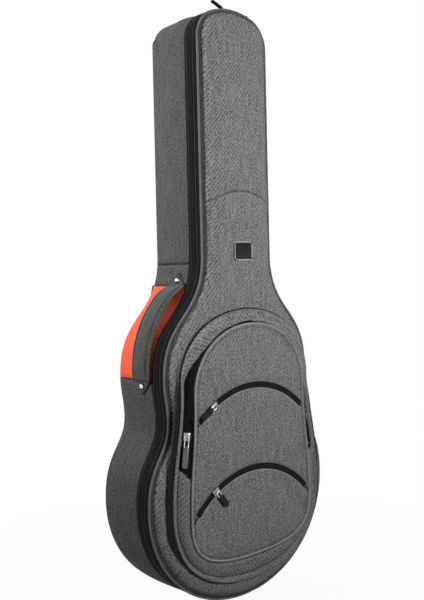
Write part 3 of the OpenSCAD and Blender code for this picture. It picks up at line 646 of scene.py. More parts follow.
def build_stage():
    scene = bpy.context.scene
    scene.view_settings.view_transform = "Standard"
    world = bpy.data.worlds.new("studio")
    scene.world = world
    world.use_nodes = True
    tree = world.node_tree
    soft = tree.nodes["Background"]
    soft.inputs[0].default_value = WHITE
    soft.inputs[1].default_value = WORLD_STRENGTH
    white = tree.nodes.new("ShaderNodeBackground")
    white.inputs[0].default_value = WHITE
    white.inputs[1].default_value = 1.0
    tree.links.new(pale(tree, soft.outputs[0], white.outputs[0]), tree.nodes["World Output"].inputs[0])

    bpy.ops.object.select_all(action="DESELECT")
    bpy.ops.mesh.primitive_plane_add(size=14, location=(0, 0, 0))
    floor = bpy.context.object
    floor.name = "floor"
    material = bpy.data.materials.new("pale_floor")
    material.use_nodes = True
    tree = material.node_tree
    shader = tree.nodes["Principled BSDF"]
    shader.inputs["Base Color"].default_value = grey(0.95)
    shader.inputs["Roughness"].default_value = 0.9
    glow = tree.nodes.new("ShaderNodeEmission")
    glow.inputs[0].default_value = WHITE
    place = put(tree, "ShaderNodeVectorMath", operation="LENGTH")
    tree.links.new(tree.nodes.new("ShaderNodeTexCoord").outputs["Object"], place.inputs[0])
    far = put(tree, "ShaderNodeMapRange", interpolation_type="SMOOTHSTEP")
    for k, value in enumerate((FLOOR_NEAR, FLOOR_FAR, FLOOR_WHITE, FLOOR_FULL), start=1):
        far.inputs[k].default_value = value
    tree.links.new(place.outputs["Value"], far.inputs[0])
    half = tree.nodes.new("ShaderNodeMixShader")
    tree.links.new(far.outputs[0], half.inputs[0])
    tree.links.new(shader.outputs[0], half.inputs[1])
    tree.links.new(glow.outputs[0], half.inputs[2])
    dim = tree.nodes.new("ShaderNodeBsdfDiffuse")
    dim.inputs[0].default_value = grey(FLOOR_BOUNCE)
    tree.links.new(pale(tree, dim.outputs[0], half.outputs[0]), tree.nodes["Material Output"].inputs[0])
    floor.data.materials.append(material)

    for name, settings in LAMPS.items():
        lamp(name, *settings)

    data = bpy.data.cameras.new("camera")
    data.sensor_width = SENSOR
    data.lens = FOCAL / PICTURE_HEIGHT * SENSOR
    data.shift_y = SHIFT / PICTURE_HEIGHT
    camera = bpy.data.objects.new("camera", data)
    scene.collection.objects.link(camera)
    scene.camera = camera
    yaw, pitch, roll = (math.radians(a) for a in CAMERA_TURNS)
    ahead = Vector((math.sin(yaw) * math.cos(pitch), math.cos(yaw) * math.cos(pitch), math.sin(pitch)))
    right = Vector((math.cos(yaw), -math.sin(yaw), 0))
    up = right.cross(ahead)
    r = right * math.cos(roll) + up * math.sin(roll)
    u = up * math.cos(roll) - right * math.sin(roll)
    x, y, z = CAMERA_AT
    camera.matrix_world = Matrix((
        (r.x, u.x, -ahead.x, x), (r.y, u.y, -ahead.y, y), (r.z, u.z, -ahead.z, z), (0, 0, 0, 1)))


build_stage()


# Cloth: sheets cut to an outline, and their settling under the padding's push

CLOTH_STEP = 0.0055
SETTLING = []


def cut_sheet(loop, lines=(), step=CLOTH_STEP):
    """Points and faces of a flat sheet inside a closed outline, with the sewn lines as edges of its mesh."""
    loop = even(np.asarray(loop, float), step)[:-1]
    lines = [even(np.asarray(line, float), step) for line in lines]
    low, high = loop.min(0), loop.max(0)
    rise = step * math.sqrt(3) / 2
    inner = []
    for k in range(int((high[1] - low[1]) / rise) + 1):
        x = np.arange(low[0] + (k % 2) * step / 2, high[0], step)
        inner.append(np.stack([x, np.full(len(x), low[1] + k * rise)], 1))
    inner = np.concatenate(inner)
    clear = 0.55 * step
    keep = nearest(inner, np.concatenate([loop, loop[:1]])) > clear
    for line in lines:
        keep &= nearest(inner, line) > clear
    points = np.concatenate([loop, *lines, inner[keep]])
    n = len(loop)
    edges, at = [], n
    for line in lines:
        edges += [(at + i, at + i + 1) for i in range(len(line) - 1)]
        at += len(line)
    found = delaunay_2d_cdt([Vector(p) for p in points], edges, [list(range(n))], 1, 1e-7)
    flat = np.array([tuple(v) for v in found[0]])
    return flat, [tuple(f) for f in found[2]]


def raise_sheet(name, flat, faces, depth):
    """Stands a flat sheet up in X and Z at the given depths, facing the front."""
    verts = np.stack([flat[:, 0], FRONT + depth, flat[:, 1]], 1)
    uv = [tuple(flat[i]) for f in faces for i in f]
    return new_mesh(name, verts, faces, uv)


def settle_later(piece, held, pressure, cap, grow=0.0, bending=0.6):
    """Puts a sheet in the queue for settling. held is 1 where it is sewn down and 0 where it is free."""
    SETTLING.append((piece, held, pressure, cap, grow, bending))


def settle_all(frames=20):
    """Lets all sheets swell over their padding at once, then fixes their shapes."""
    scene = bpy.context.scene
    before = {}
    for piece, held, pressure, cap, grow, bending in SETTLING:
        before[piece.name] = coords(piece)
        sewn = piece.vertex_groups.new(name="sewn")
        for i in np.nonzero(np.asarray(held) > 0.01)[0]:
            sewn.add([int(i)], float(held[i]), "REPLACE")
        cloth = piece.modifiers.new("cloth", "CLOTH")
        s = cloth.settings
        s.quality = 5
        s.mass = 0.25
        s.air_damping = 2.0
        s.tension_stiffness = 18
        s.compression_stiffness = 18
        s.shear_stiffness = 9
        s.bending_stiffness = bending
        s.use_pressure = True
        s.uniform_pressure_force = pressure
        s.vertex_group_mass = "sewn"
        s.pin_stiffness = 1.0
        s.shrink_min = -grow
        s.effector_weights.gravity = 0
        cloth.point_cache.frame_start, cloth.point_cache.frame_end = 1, frames
    for f in range(1, frames + 1):
        scene.frame_set(f)
    shown = bpy.context.evaluated_depsgraph_get()
    after = {}
    for piece, *_ in SETTLING:
        mesh = piece.evaluated_get(shown).to_mesh()
        co = np.zeros(len(mesh.vertices) * 3)
        mesh.vertices.foreach_get("co", co)
        after[piece.name] = co.reshape(-1, 3)
    for piece, _, _, cap, *_ in SETTLING:
        move = after[piece.name] - before[piece.name]
        size = np.linalg.norm(move, axis=1)[:, None]
        piece.modifiers.clear()
        piece.vertex_groups.clear()
        set_coords(piece, before[piece.name] + move * np.minimum(1, cap / np.maximum(size, 1e-9)))
    scene.frame_set(1)
    SETTLING.clear()


def seam_valley(distance, width, depth):
    """The furrow that a seam draws into the cloth."""
    return depth * bump(distance, width)


def puckers(place, distance, pitch, height, reach, seed):
    """Small gathers beside a seam: they stand across it and fade out away from it."""
    fade = np.clip(distance / 0.004, 0, 1) * np.clip(1 - distance / reach, 0, 1)
    wave = soft_noise(place / pitch, distance / (3 * pitch) + 7, seed)
    return height * wave * fade


# The front

PATCH_AT = np.array([0.0, 0.652])
PATCH_HOLD = 0.026
COVER_INSET = 0.0044
GROOVE = 0.0018


def arch_line(top, radius, half_angle):
    a = np.radians(np.linspace(90 + half_angle, 90 - half_angle, 90))
    return np.stack([radius * np.cos(a), top - radius + radius * np.sin(a)], 1)


def crown(flat):
    """Depth of the front's crown. It starts a little behind the seam, which leaves a groove at the piping."""
    edge = nearest(flat, BAG) - COVER_INSET
    t = np.clip(edge / (CROWN_RUN - COVER_INSET), 0, 1)
    return GROOVE - (CROWN + GROOVE) * rounded(t)


def front_seam():
    """The arched seam between the front's two panels, out to the piping on both sides."""
    line = arch_line(SEAM_Z, SEAM_R, 88)
    inside = np.abs(line[:, 0]) < side_half(line[:, 1]) - COVER_INSET - 0.001
    line = line[inside]
    ends = []
    for point in (line[0], line[-1]):
        ends.append((math.copysign(side_half(point[1]) - COVER_INSET, point[0]), point[1] - 0.001))
    return np.concatenate([[ends[0]], line[1:-1], [ends[1]]])


def build_front():
    seam = front_seam()
    half = len(BAG) // 2
    right_cut = int(np.argmin(np.linalg.norm(BAG[:half] - seam[-1], axis=1)))
    left_cut = len(BAG) - 1 - right_cut
    rim = BAG - BAG_OUT * COVER_INSET
    upper_loop = np.concatenate([rim[right_cut:left_cut + 1], seam[1:-1], rim[right_cut:right_cut + 1]])
    lower_loop = np.concatenate([rim[:right_cut + 1], seam[1:-1][::-1], rim[left_cut:]])
    made = []
    for name, loop, lines, node in (
            ("front_cover_upper", upper_loop, (), "front_panel_upper"),
            ("front_cover_lower", lower_loop, (BASE,), "front_panel_lower")):
        flat, faces = cut_sheet(loop, lines)
        piece = raise_sheet(name, flat, faces, crown(flat))
        edge = nearest(flat, rim)
        sewn = np.minimum(edge, nearest(flat, seam))
        if lines:
            sewn = np.minimum(sewn, nearest(flat, BASE))
        held = bump(sewn, 0.010)
        held[sewn < 0.003] = 1.0
        to_patch = np.linalg.norm(flat - PATCH_AT, axis=1)
        held = np.maximum(held, bump(to_patch - PATCH_HOLD, 0.03))
        held[to_patch < PATCH_HOLD] = 1.0
        settle_later(piece, held, 2.2, 0.0025, grow=0.010)
        made.append((piece, flat, edge, node))
    return made, seam


def finish_front(made, seam):
    for piece, flat, edge, node in made:
        co = coords(piece)
        to_seam = nearest(flat, seam)
        lift = -seam_valley(to_seam, 0.005, 0.0012) + puckers(flat[:, 0], to_seam, 0.014, 0.0006, 0.05, 3)
        around = np.arctan2(flat[:, 0], flat[:, 1] - 0.95) * 0.14
        lift += puckers(around, edge, 0.010, 0.0011, 0.055, 5)
        lift += 0.0007 * soft_noise(flat[:, 0] / 0.06, flat[:, 1] / 0.11, 8)
        co[:, 1] -= lift * np.clip(edge / 0.006, 0, 1)
        near_patch = bump(np.linalg.norm(flat - PATCH_AT, axis=1), 0.05)
        co[:, 1] = mix(co[:, 1], np.maximum(co[:, 1], FRONT - CROWN), np.clip(2 * near_patch, 0, 1))
        set_coords(piece, co)
        thicken(piece, FABRIC)
        dress(piece, GREY_FRONT, "grey_front", "lid", node)
        area = sheet_area(piece)


def sheet_area(piece):
    """Area of one face of a thickened sheet."""
    bm = bmesh.new()
    bm.from_mesh(piece.data)
    total = sum(f.calc_area() for f in bm.faces)
    bm.free()
    return total / 2


# Strips that run along the bag's outline

LENGTH = BAG_S[-1]
OPEN_RUN = (side_s(HINGE_HIGH, 1), LENGTH + side_s(HINGE_LOW, 1))


def swept(name, s, section, shape=None):
    """A strip along the bag's outline. Its section is a list of (depth, height above the outline)."""
    point, normal = bag_at(s)
    section = np.asarray(section, float)
    rise = np.repeat(section[None, :, 1], len(s), 0)
    depth = np.repeat(section[None, :, 0], len(s), 0)
    if shape is not None:
        rise = rise + shape(np.asarray(s)[:, None], depth)
    rows = np.stack([point[:, None, 0] + normal[:, None, 0] * rise, FRONT + depth,
                     point[:, None, 1] + normal[:, None, 1] * rise], 2)
    return strip(name, rows, s, along(section))


def span(s0, s1, step=0.005):
    return np.linspace(s0, s1, max(2, int(abs(s1 - s0) / step)) + 1)


GUSSET_ROLL = 0.007


def gusset_section():
    y = np.concatenate([np.linspace(GUSSET_START + 0.001, GUSSET_END - GUSSET_ROLL, 17),
                        GUSSET_END - GUSSET_ROLL * np.cos(np.linspace(0.3, math.pi / 2, 6))])
    y = np.sort(np.concatenate([[GUSSET_START - 0.0012, GUSSET_START - 0.0006], y]))
    t = np.clip((y - GUSSET_START) / (GUSSET_END - GUSSET_START), 0, 1)
    rise = 0.0006 + 0.0028 * np.sin(math.pi * t) ** 0.8
    rise -= seam_valley(y - GUSSET_START - 0.0045, 0.0028, 0.0009)
    roll = np.clip((y - (GUSSET_END - GUSSET_ROLL)) / GUSSET_ROLL, 0, 1)
    rise -= GUSSET_ROLL * 0.75 * (1 - np.sqrt(np.clip(1 - roll ** 2, 0, 1)))
    rise[0], rise[1] = -0.0006, 0.0004
    return np.stack([y, rise], 1)


CREASE_S, CREASE_DEPTH = side_s(1.052, -1), 0.118


def gusset_shape(s0, s1, seed):
    """The waves of a side panel between its end seams, with one crease at the bag's upper left."""
    def shape(s, y):
        ends = np.minimum(s - s0, s1 - s)
        t = np.clip((y - GUSSET_START) / (GUSSET_END - GUSSET_START), 0, 1)
        free = np.sin(math.pi * t) ** 0.5
        fold = -seam_valley(ends, 0.006, 0.0022) + 0.0011 * bump(ends - 0.009, 0.008)
        fold = fold + puckers(y, ends, 0.013, 0.0012, 0.045, seed)
        sway = 0.0011 * soft_noise(s / 0.16, y / 0.024 + 3, seed + 1)
        sway = sway + 0.0006 * soft_noise(s / 0.05, y / 0.05, seed + 2)
        across = (s - CREASE_S) * 0.75 + (y - CREASE_DEPTH) * 0.65
        length = -(s - CREASE_S) * 0.65 + (y - CREASE_DEPTH) * 0.75
        crease = -0.0042 * bump(across, 0.007) * bump(length, 0.026)
        crease = crease + 0.0018 * bump(across - 0.010, 0.010) * bump(length, 0.026)
        return fold * (1 - bump(y - GUSSET_END, 0.022)) + free * sway + crease
    return shape


def build_gusset():
    left_top, left_panel = side_s(TOP_PANEL_Z, -1), side_s(HANDLE_TOP, -1)
    left_low = side_s(HANDLE_LOW, -1)
    right_top = side_s(TOP_PANEL_Z, 1)
    section = gusset_section()
    gap = 0.0002
    for name, start, end, finish, slot, node, seed in (
            ("gusset_head_cloth", right_top, left_top, GREY_SIDE, "grey_side", "gusset_head", 11),
            ("handle_top_cloth", left_top, left_panel, GREY_SIDE, "grey_side", "handle_top_panel", 15),
            ("handle_panel_cloth", left_panel, left_low, CORAL, "coral", "handle_panel", 19),
            ("gusset_base_cloth", left_low, LENGTH + right_top, GREY_SIDE, "grey_side", "gusset_base", 23)):
        s0, s1 = start + gap, end - gap
        piece = swept(name, span(s0, s1, 0.004), section, gusset_shape(s0, s1, seed))
        thicken(piece, SIDE_CLOTH)
        dress(piece, finish, slot, "shell", node)


# Degrees from the top of the head to which the main sliders can run, and the room beyond, without lid teeth.
SLIDER_LIMIT, SLIDER_ROOM = 16, 0.014


def build_zip_tapes():
    def ribs(y0, y1):
        y = np.linspace(y0, y1, 14)
        rise = 0.0006 * np.maximum(0, np.sin((y - y0) / (y1 - y0) * math.pi * 6)) ** 2
        return np.stack([y, rise], 1)
    s = span(*OPEN_RUN)
    for name, y0, y1, body, node in (
            ("zip_tape_shell", ZIP_DEPTH + COIL_SLOT, ZIP_DEPTH + TAPE_WIDTH, "shell", "zip_tape_back"),
            ("zip_tape_lid", PIPING + 0.0006, ZIP_DEPTH - COIL_SLOT, "lid", "zip_tape_front")):
        piece = thicken(swept(name, s, ribs(y0, y1)), TAPE_CLOTH)
        dress(piece, TAPE, "zip", body, node)
    place, _, across, out = bag_frame(s)
    for name, depth, body in (("zip_welt_lid", ZIP_DEPTH - 0.0085, "lid"),
                              ("zip_welt_shell", ZIP_DEPTH + 0.0088, "shell")):
        welt = tube(name, place + across * depth + out * 0.0006, across, out, 0.0010, False, sides=8)
        dress(welt, WELT, "zip", body)
    slider_run = (HEAD_R + COIL_HEIGHT) * math.sin(math.radians(SLIDER_LIMIT)) + SLIDER_ROOM
    for name, sign, shift, body, node in (("zip_teeth_shell", 1, 0.0, "shell", "zip_coil_back"),
                                          ("zip_teeth_lid", -1, 0.5, "lid", "zip_coil_front")):
        s = np.arange(OPEN_RUN[0] + 0.002 + shift * TOOTH_PITCH, OPEN_RUN[1] - 0.002, TOOTH_PITCH)
        if sign < 0:
            s = s[np.abs(s - TOP_S) > slider_run]
        piece = teeth(name, s, bag_frame, ZIP_DEPTH + sign * COIL_SLOT, ZIP_DEPTH + sign * COIL_REACH)
        dress(piece, COIL, "zip", body, node)


def bag_frame(s):
    """Place, way along, way across and way out of the bag's zip at distances s."""
    point, normal = bag_at(s)
    zero = np.zeros(len(point))
    out = np.stack([normal[:, 0], zero, normal[:, 1]], 1)
    way = np.stack([-normal[:, 1], zero, normal[:, 0]], 1)
    place = np.stack([point[:, 0], zero + FRONT, point[:, 1]], 1)
    return place, way, repeated(BEHIND, len(point)), out


# Half the outline of a tooth's arched section, as (along the tape, height), and how deep it sits in the tape.
TOOTH_SIDE = [(0.0003, 0.0016), (0.0006, 0.0011), (0.00065, 0.0)]
TOOTH = [(-a, h) for a, h in TOOTH_SIDE[::-1]] + TOOTH_SIDE
TOOTH_SINK = 0.0002


def teeth(name, s, frame_at, near, far_side):
    """Teeth of one half of a zip: each is a small arched bar that lies across the tape."""
    place, way, across, out = frame_at(s)
    verts, faces = [], []
    inner = mix(near, far_side, 0.55)
    for k in range(len(s)):
        base = len(verts)
        for y, shrink in ((near, 0.75), (inner, 1.0), (far_side, 0.7)):
            for a, h in TOOTH:
                lift = h * shrink - TOOTH_SINK
                verts.append(place[k] + way[k] * a * shrink + across[k] * y + out[k] * lift)
        n = len(TOOTH)
        for r in (0, n):
            for j in range(n):
                h = (j + 1) % n
                faces.append((base + r + j, base + r + h, base + r + n + h, base + r + n + j))
        faces.append(tuple(base + j for j in range(n))[::-1])
        faces.append(tuple(base + 2 * n + j for j in range(n)))
    return faced(new_mesh(name, verts, faces))


def tube(name, centre, side, up, radius, loop, sides=10, uv_turn=0.016, swell=None):
    """A round cord along a line of points, with two directions of its section at each point."""
    a = np.linspace(0, TURN, sides, endpoint=False)
    r = np.full(len(centre), radius) if swell is None else radius * swell
    rows = (centre[:, None] + side[:, None] * (np.cos(a)[None, :, None] * r[:, None, None])
            + up[:, None] * (np.sin(a)[None, :, None] * r[:, None, None]))
    u = np.concatenate([along(centre), [along(centre)[-1] + np.linalg.norm(centre[-1] - centre[0])]])
    piece = strip(name, rows, u, np.linspace(0, uv_turn, sides + 1), loop=loop, tube=True)
    if not loop:
        close_ends(piece)
    return faced(piece)


CORD_R = 0.0023


def build_piping():
    s = np.linspace(0, LENGTH, 700, endpoint=False)
    point, normal = bag_at(s)
    zero = np.zeros(len(s))
    out = np.stack([normal[:, 0], zero, normal[:, 1]], 1)
    ahead = repeated(AHEAD, len(s))
    centre = np.stack([point[:, 0], zero + FRONT + 0.0012, point[:, 1]], 1) - out * 0.0002
    swell = 1 + 0.05 * soft_noise(s / 0.012, s * 0, 41)
    piece = tube("front_piping_cord", centre, ahead, out, CORD_R, True, swell=swell)
    dress(piece, GREY_PIPING, "piping", "lid", "front_piping")
    # A dark cord sunk in the groove between the piping and the front cover: a seam thread, made thick and dark
    # to paint the seam's shade.
    sunk = centre - out * 0.0033 - [0.0, 0.0004, 0.0]
    seam = tube("front_seam_thread_painted_shade", sunk, ahead, out, 0.0012, True, sides=8)
    dress(seam, THREAD_DARK, "zip", "lid")
    # The piping's flange is dressed in black tape, which also paints the shade of the seam between the piping
    # and the zip.
    section = [(0.0045, 0.0016), (0.0058, 0.0010), (0.0072, 0.0008), (0.0078, 0.0002)]
    lip = swept("front_piping_flange_painted_shade", span(0, LENGTH), section)
    thicken(lip, 0.0008)
    dress(lip, TAPE, "zip", "lid")


def build_hinge():
    s = span(side_s(HINGE_LOW, 1), side_s(HINGE_HIGH, 1), 0.004)
    y = np.linspace(PIPING + 0.0006, ZIP_DEPTH + TAPE_WIDTH, 25)
    t = (y - y[0]) / (y[-1] - y[0])
    section = np.stack([y, 0.0006 + 0.0016 * np.sin(math.pi * t)], 1)
    piece = thicken(swept("hinge_cloth", s, section), BAND_CLOTH)
    dress(piece, GREY_SIDE, "grey_side", None, "hinge_strip_back", "hinge_strip_front")
    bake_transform(piece)


def build_back():
    inner = BAG - BAG_OUT * 0.0016
    flat, faces = cut_sheet(inner, step=0.009)
    edge = nearest(flat, inner)
    depth = BAG_DEPTH - 0.0055 * (1 - rounded(np.clip(edge / 0.012, 0, 1)))
    depth -= 0.0012 * bump(edge - 0.024, 0.005)
    piece = to_back(raise_sheet("back_cloth", flat, faces, depth))
    thicken(piece, FABRIC)
    dress(piece, GREY_SIDE, "grey_side", "shell", "back_panel")
    sheet_area(piece)

    inner = BAG - BAG_OUT * (LINING_IN + 0.0012)
    flat, faces = cut_sheet(inner, step=0.010)
    edge = nearest(flat, inner)
    depth = 0.1199 - 0.006 * bump(edge, 0.012) + 0.0006 * soft_noise(flat[:, 0] / 0.05, flat[:, 1] / 0.05, 51)
    piece = raise_sheet("back_lining_cloth", flat, faces, depth)
    thicken(piece, LINING_CLOTH)
    dress(piece, PLUSH, "lining", "shell", "back_lining", "back_foam")
    sheet_area(piece)

    section = [(0.0376, -0.0022), (0.0371, -0.004), (0.0366, -0.009), (0.0371, -0.0150), (0.0395, -0.0178)]
    section += [(y, -0.0181) for y in np.linspace(0.044, 0.114, 9)] + [(0.1195, -0.0176)]
    piece = to_back(swept("side_lining_cloth", span(0, LENGTH, 0.008), section))
    thicken(piece, LINING_CLOTH)
    dress(piece, PLUSH, "lining", "shell", "side_lining", "side_foam")

    inner = BAG - BAG_OUT * 0.0022
    flat, faces = cut_sheet(inner, step=0.009)
    edge = nearest(flat, inner)
    depth = -0.0029 * rounded(np.clip((edge - 0.011) / 0.031, 0, 1))
    depth = depth + 0.0004 * soft_noise(flat[:, 0] / 0.05, flat[:, 1] / 0.05, 53)
    piece = to_back(raise_sheet("front_lining_cloth", flat, faces, depth))
    thicken(piece, LINING_CLOTH)
    dress(piece, PLUSH, "lining", "lid", "front_lining", "front_foam")
    sheet_area(piece)


# Stitching

# Height, width and length of the three rings of a stitch, as shares of its size.
STITCH_RINGS = ((-0.3, 1.0, 1.0), (0.7, 0.8, 0.8), (1.0, 0.3, 0.5))
STITCH_CORNERS = ((-1, -1), (1, -1), (1, 1), (-1, 1))


def dashes(name, seams, surface, pitch=0.0042, length=0.0029, width=0.0010, height=0.0006):
    """Rows of sewn thread on a surface. Each seam is a line of points close to it."""
    bm = bmesh.new()
    bm.from_mesh(surface.data)
    bm.normal_update()
    tree = BVHTree.FromBMesh(bm)
    verts, faces = [], []
    for seam in seams:
        line = even(np.asarray(seam, float), pitch)
        for a, b in zip(line[:-1], line[1:]):
            middle, way = (a + b) / 2, Vector(b - a).normalized()
            spot, normal, _, _ = tree.find_nearest(Vector(middle))
            side = normal.cross(way).normalized()
            base = len(verts)
            for rise, wide, far in STITCH_RINGS:
                for i, j in STITCH_CORNERS:
                    corner = spot + way * (i * far * length / 2) + side * (j * wide * width / 2)
                    verts.append(corner + normal * (rise * height))
            for r in (0, 4):
                for j in range(4):
                    k = (j + 1) % 4
                    faces.append((base + r + j, base + r + k, base + r + 4 + k, base + r + 4 + j))
            faces += [(base + 3, base + 2, base + 1, base), (base + 8, base + 9, base + 10, base + 11)]
    bm.free()
    return faced(new_mesh(name, verts, faces))


def in_front(flat, depth):
    """A flat line of points, stood up at one depth."""
    flat = np.asarray(flat, float)
    return np.stack([flat[:, 0], np.full(len(flat), FRONT + depth), flat[:, 1]], 1)


# The large pocket

# Shares of the way across the pocket's sloping side, from its base at 0 to its face at 1.
SLOPE_L = math.hypot(BASE_ARCH[0] - FACE_ARCH[0], POCKET_DEPTH)
COIL_S, SLOT_S = 0.0028 / SLOPE_L, COIL_SLOT / SLOPE_L
TAPE_START = 0.5 - SLOT_S - COIL_S - 0.14
TAPE_END = 1 - 0.0031 / SLOPE_L
BASE_DEPTH = -0.0163


def slope_point(s, lift=0.0):
    """Points of the pocket's sloping side at share s, lifted away from it, for the whole outline."""
    s = np.broadcast_to(s, (len(BASE),))
    flat = mix(BASE, FACE, s[:, None])
    out = outward(MIDWAY)
    run = np.linalg.norm(FACE - BASE, axis=1)
    steep = np.stack([np.full(len(run), POCKET_DEPTH), run], 1)
    steep /= np.linalg.norm(steep, axis=1)[:, None]
    lift = np.broadcast_to(lift, (len(flat),))
    x = flat[:, 0] + out[:, 0] * steep[:, 0] * lift
    z = flat[:, 1] + out[:, 1] * steep[:, 0] * lift
    y = FRONT + mix(BASE_DEPTH, -FACE_DEPTH, s) - steep[:, 1] * lift
    return np.stack([x, y, z], 1)


def slope_sheet(name, shares, lifts, keep):
    """A strip of the pocket's side. keep tells which outline points it covers, over the top or the bottom."""
    rows = np.stack([slope_point(s, h) for s, h in zip(shares, lifts)], 1)
    order = np.nonzero(keep)[0]
    gaps = np.nonzero(np.diff(order) > 1)[0]
    loop = len(order) == len(keep)
    if loop:
        rows = rows[:-1]
    else:
        if len(gaps):
            order = np.concatenate([order[gaps[0] + 1:-1], order[:gaps[0] + 1]])
        rows = rows[order]
    line = rows[:, 0]
    u = np.concatenate([along(line), [along(line)[-1] + 0.01]])
    return strip(name, rows[:, ::-1], u, along(rows[0, ::-1]), loop=loop)


# Heights from which the gathered band overhangs the zip, the height over which it gets there, and its reach.
OVER_LEFT, OVER_RIGHT, OVER_RUN = 0.41, 0.35, 0.09
OVER_REACH, OVER_REACH_MORE = 0.85, 0.08
# Distances along the base line of the bottom corners and of the pleats beside them.
CORNER_S, PLEAT_S = 0.135, 0.118


def build_pocket_side():
    z = MIDWAY[:, 1]
    s_line = along(BASE)
    puffs = soft_noise(s_line / 0.016, s_line * 0, 61)
    fine = soft_noise(s_line / 0.007, s_line * 0 + 3, 62)
    upper = np.clip((z - 0.40) / 0.08, 0, 1)
    corner = bump(s_line - CORNER_S, 0.020) + bump(s_line - (s_line[-1] - CORNER_S), 0.020)
    over = smooth(np.clip((z - np.where(BASE[:, 0] > 0, OVER_RIGHT, OVER_LEFT)) / OVER_RUN, 0, 1))
    right = np.clip(BASE[:, 0] / 0.06, 0, 1)
    reach = mix(TAPE_START, OVER_REACH + OVER_REACH_MORE * right, over)
    shares, lifts = [np.full(len(z), -0.16), np.full(len(z), -0.12)], [0.0003, 0.0003]
    for t in np.linspace(0, 1, 10):
        gather = (0.0015 * puffs + 0.0017 * fine) * (0.35 + 1.3 * upper) * t
        shares.append(t * reach)
        puff = 0.0068 * math.sin(math.pi * t ** 0.72) + 0.0003
        lifts.append(puff + (0.0030 - 0.0026 * right) * over * t + gather * (1 - 0.6 * right)
                     - 0.003 * corner * math.sin(math.pi * t))
    band = thicken(slope_sheet("pocket_side_band", shares, lifts, np.ones(len(z), bool)), BAND_CLOTH)
    low = z < FLAP_Z - 0.0003
    shares = np.linspace(TAPE_START, TAPE_END, 9)
    pleat = 0.004 * bump(s_line - PLEAT_S, 0.012) + 0.004 * bump(s_line - (s_line[-1] - PLEAT_S), 0.012)
    lifts = []
    for s in shares:
        t = (s - TAPE_START) / (TAPE_END - TAPE_START)
        lifts.append(0.0003 + (0.0030 + 0.0010 * puffs - pleat) * math.sin(math.pi * t))
    plain = thicken(slope_sheet("pocket_side_plain", shares, lifts, low), BAND_CLOTH)
    seams = [slope_point(-0.08, 0.0006), slope_point(0.02, 0.0006)]
    sewn = dashes("pocket_base_thread", seams, band, 0.0038, 0.0033, 0.0015, 0.0007)
    dress(sewn, THREAD_DARK, "zip", "lid")
    # A dark cord along the pocket's base: its seam, and on the lower left, where it swells, shifts outwards
    # and flattens, painted shade of the deep groove under the pocket's overhanging side.
    out, zero, foot = outward(BASE)[:-1], np.zeros(len(BASE) - 1), BASE[:-1, 1]
    wide = np.clip((0.44 - foot) / 0.08, 0, 1) * np.clip((foot - 0.10) / 0.05, 0, 1)
    side = np.stack([out[:, 0], zero, out[:, 1]], 1)
    groove = slope_point(0.02, 0.0010)[:-1] + side * (0.0045 * wide)[:, None]
    low_up = np.stack([zero, 0.68 * wide - 1, zero], 1)
    seam = tube("pocket_base_seam_and_painted_shade", groove, side, low_up, 0.0021, True, sides=12, swell=1 + 2 * wide)
    dress(seam, THREAD_DARK, "zip", "lid")
    width = SLOPE_L * (TAPE_START + 0.16) * 1.4
    for piece, across in ((band, width), (plain, SLOPE_L * (TAPE_END - TAPE_START) * 1.6)):
        dress(piece, GREY_FRONT, "grey_front", "lid", *(["pocket_gusset"] if piece is band else []))
        area = sheet_area(piece)


def slope_frame(s_share):
    """A zip's frame along the pocket's side, at positions along the whole outline."""
    centre, above = slope_point(s_share), slope_point(s_share, 0.001)
    lower, higher = slope_point(s_share - 0.02), slope_point(s_share + 0.02)
    line = along(centre)

    def frame_at(s):
        def pick(a):
            return np.stack([np.interp(s, line, a[:, k]) for k in range(3)], 1)

        def unit(a):
            return a / np.linalg.norm(a, axis=1)[:, None]
        place, out, across = pick(centre), unit(pick(above - centre)), unit(pick(higher - lower))
        return place, unit(np.cross(out, across)), across, out
    return frame_at, centre, line


def build_pocket_zip():
    z = MIDWAY[:, 1]
    for name, s0, s1, floor_z, body, node in (
            ("pocket_tape_bag", TAPE_START - 0.05, 0.5 - SLOT_S, FLAP_Z, "lid", "pocket_zip_back"),
            ("pocket_tape_flap", 0.5 + SLOT_S, TAPE_END + 0.02, FLAP_ZIP_Z, "pocket_flap",
             "pocket_zip_front")):
        ridge = 0.0004 * np.sin(np.linspace(0, math.pi, 9) * 3) ** 2 - 0.0007
        tape = slope_sheet(name, np.linspace(s0, s1, 9), ridge, z > floor_z + 0.0003)
        dress(thicken(tape, TAPE_CLOTH), TAPE, "zip", body, node)
    for side, label in ((-1, "left"), (1, "right")):
        keep = (z > FLAP_Z - 0.004) & (z < FLAP_ZIP_Z + 0.012) & (side * BASE[:, 0] > 0)
        shares = np.linspace(0.47, TAPE_END - 0.03, 6)
        under = slope_sheet(f"pocket_tape_end_{label}", shares, np.full(6, -0.0026), keep)
        dress(thicken(under, TAPE_CLOTH), TAPE, "zip", "lid")
    frame_at, centre, line = slope_frame(0.5)
    for name, sign, shift, floor_z, body in (("pocket_teeth_bag", -1, 0.0, FLAP_Z, "lid"),
                                             ("pocket_teeth_flap", 1, 0.5, FLAP_ZIP_Z, "pocket_flap")):
        s = np.arange(0.001, line[-1], TOOTH_PITCH) + shift * TOOTH_PITCH
        s = s[np.interp(s, line, centre[:, 2]) > floor_z + 0.002]
        piece = teeth(name, s, frame_at, sign * COIL_SLOT, sign * COIL_REACH)
        dress(piece, COIL, "zip", body)


def slot_ring(arch, half_width):
    """Closed outline of a small pocket's arched mouth."""
    top, half = arch
    a = np.radians(np.linspace(90 + half, 90 - half, 70))
    centre = top - ARCH_R
    inner = np.stack([(ARCH_R - half_width) * np.cos(a), centre + (ARCH_R - half_width) * np.sin(a)], 1)
    outer = np.stack([(ARCH_R + half_width) * np.cos(a), centre + (ARCH_R + half_width) * np.sin(a)], 1)
    return np.concatenate([inner, outer[::-1], inner[:1]])


SLOT_HALF = 0.0058


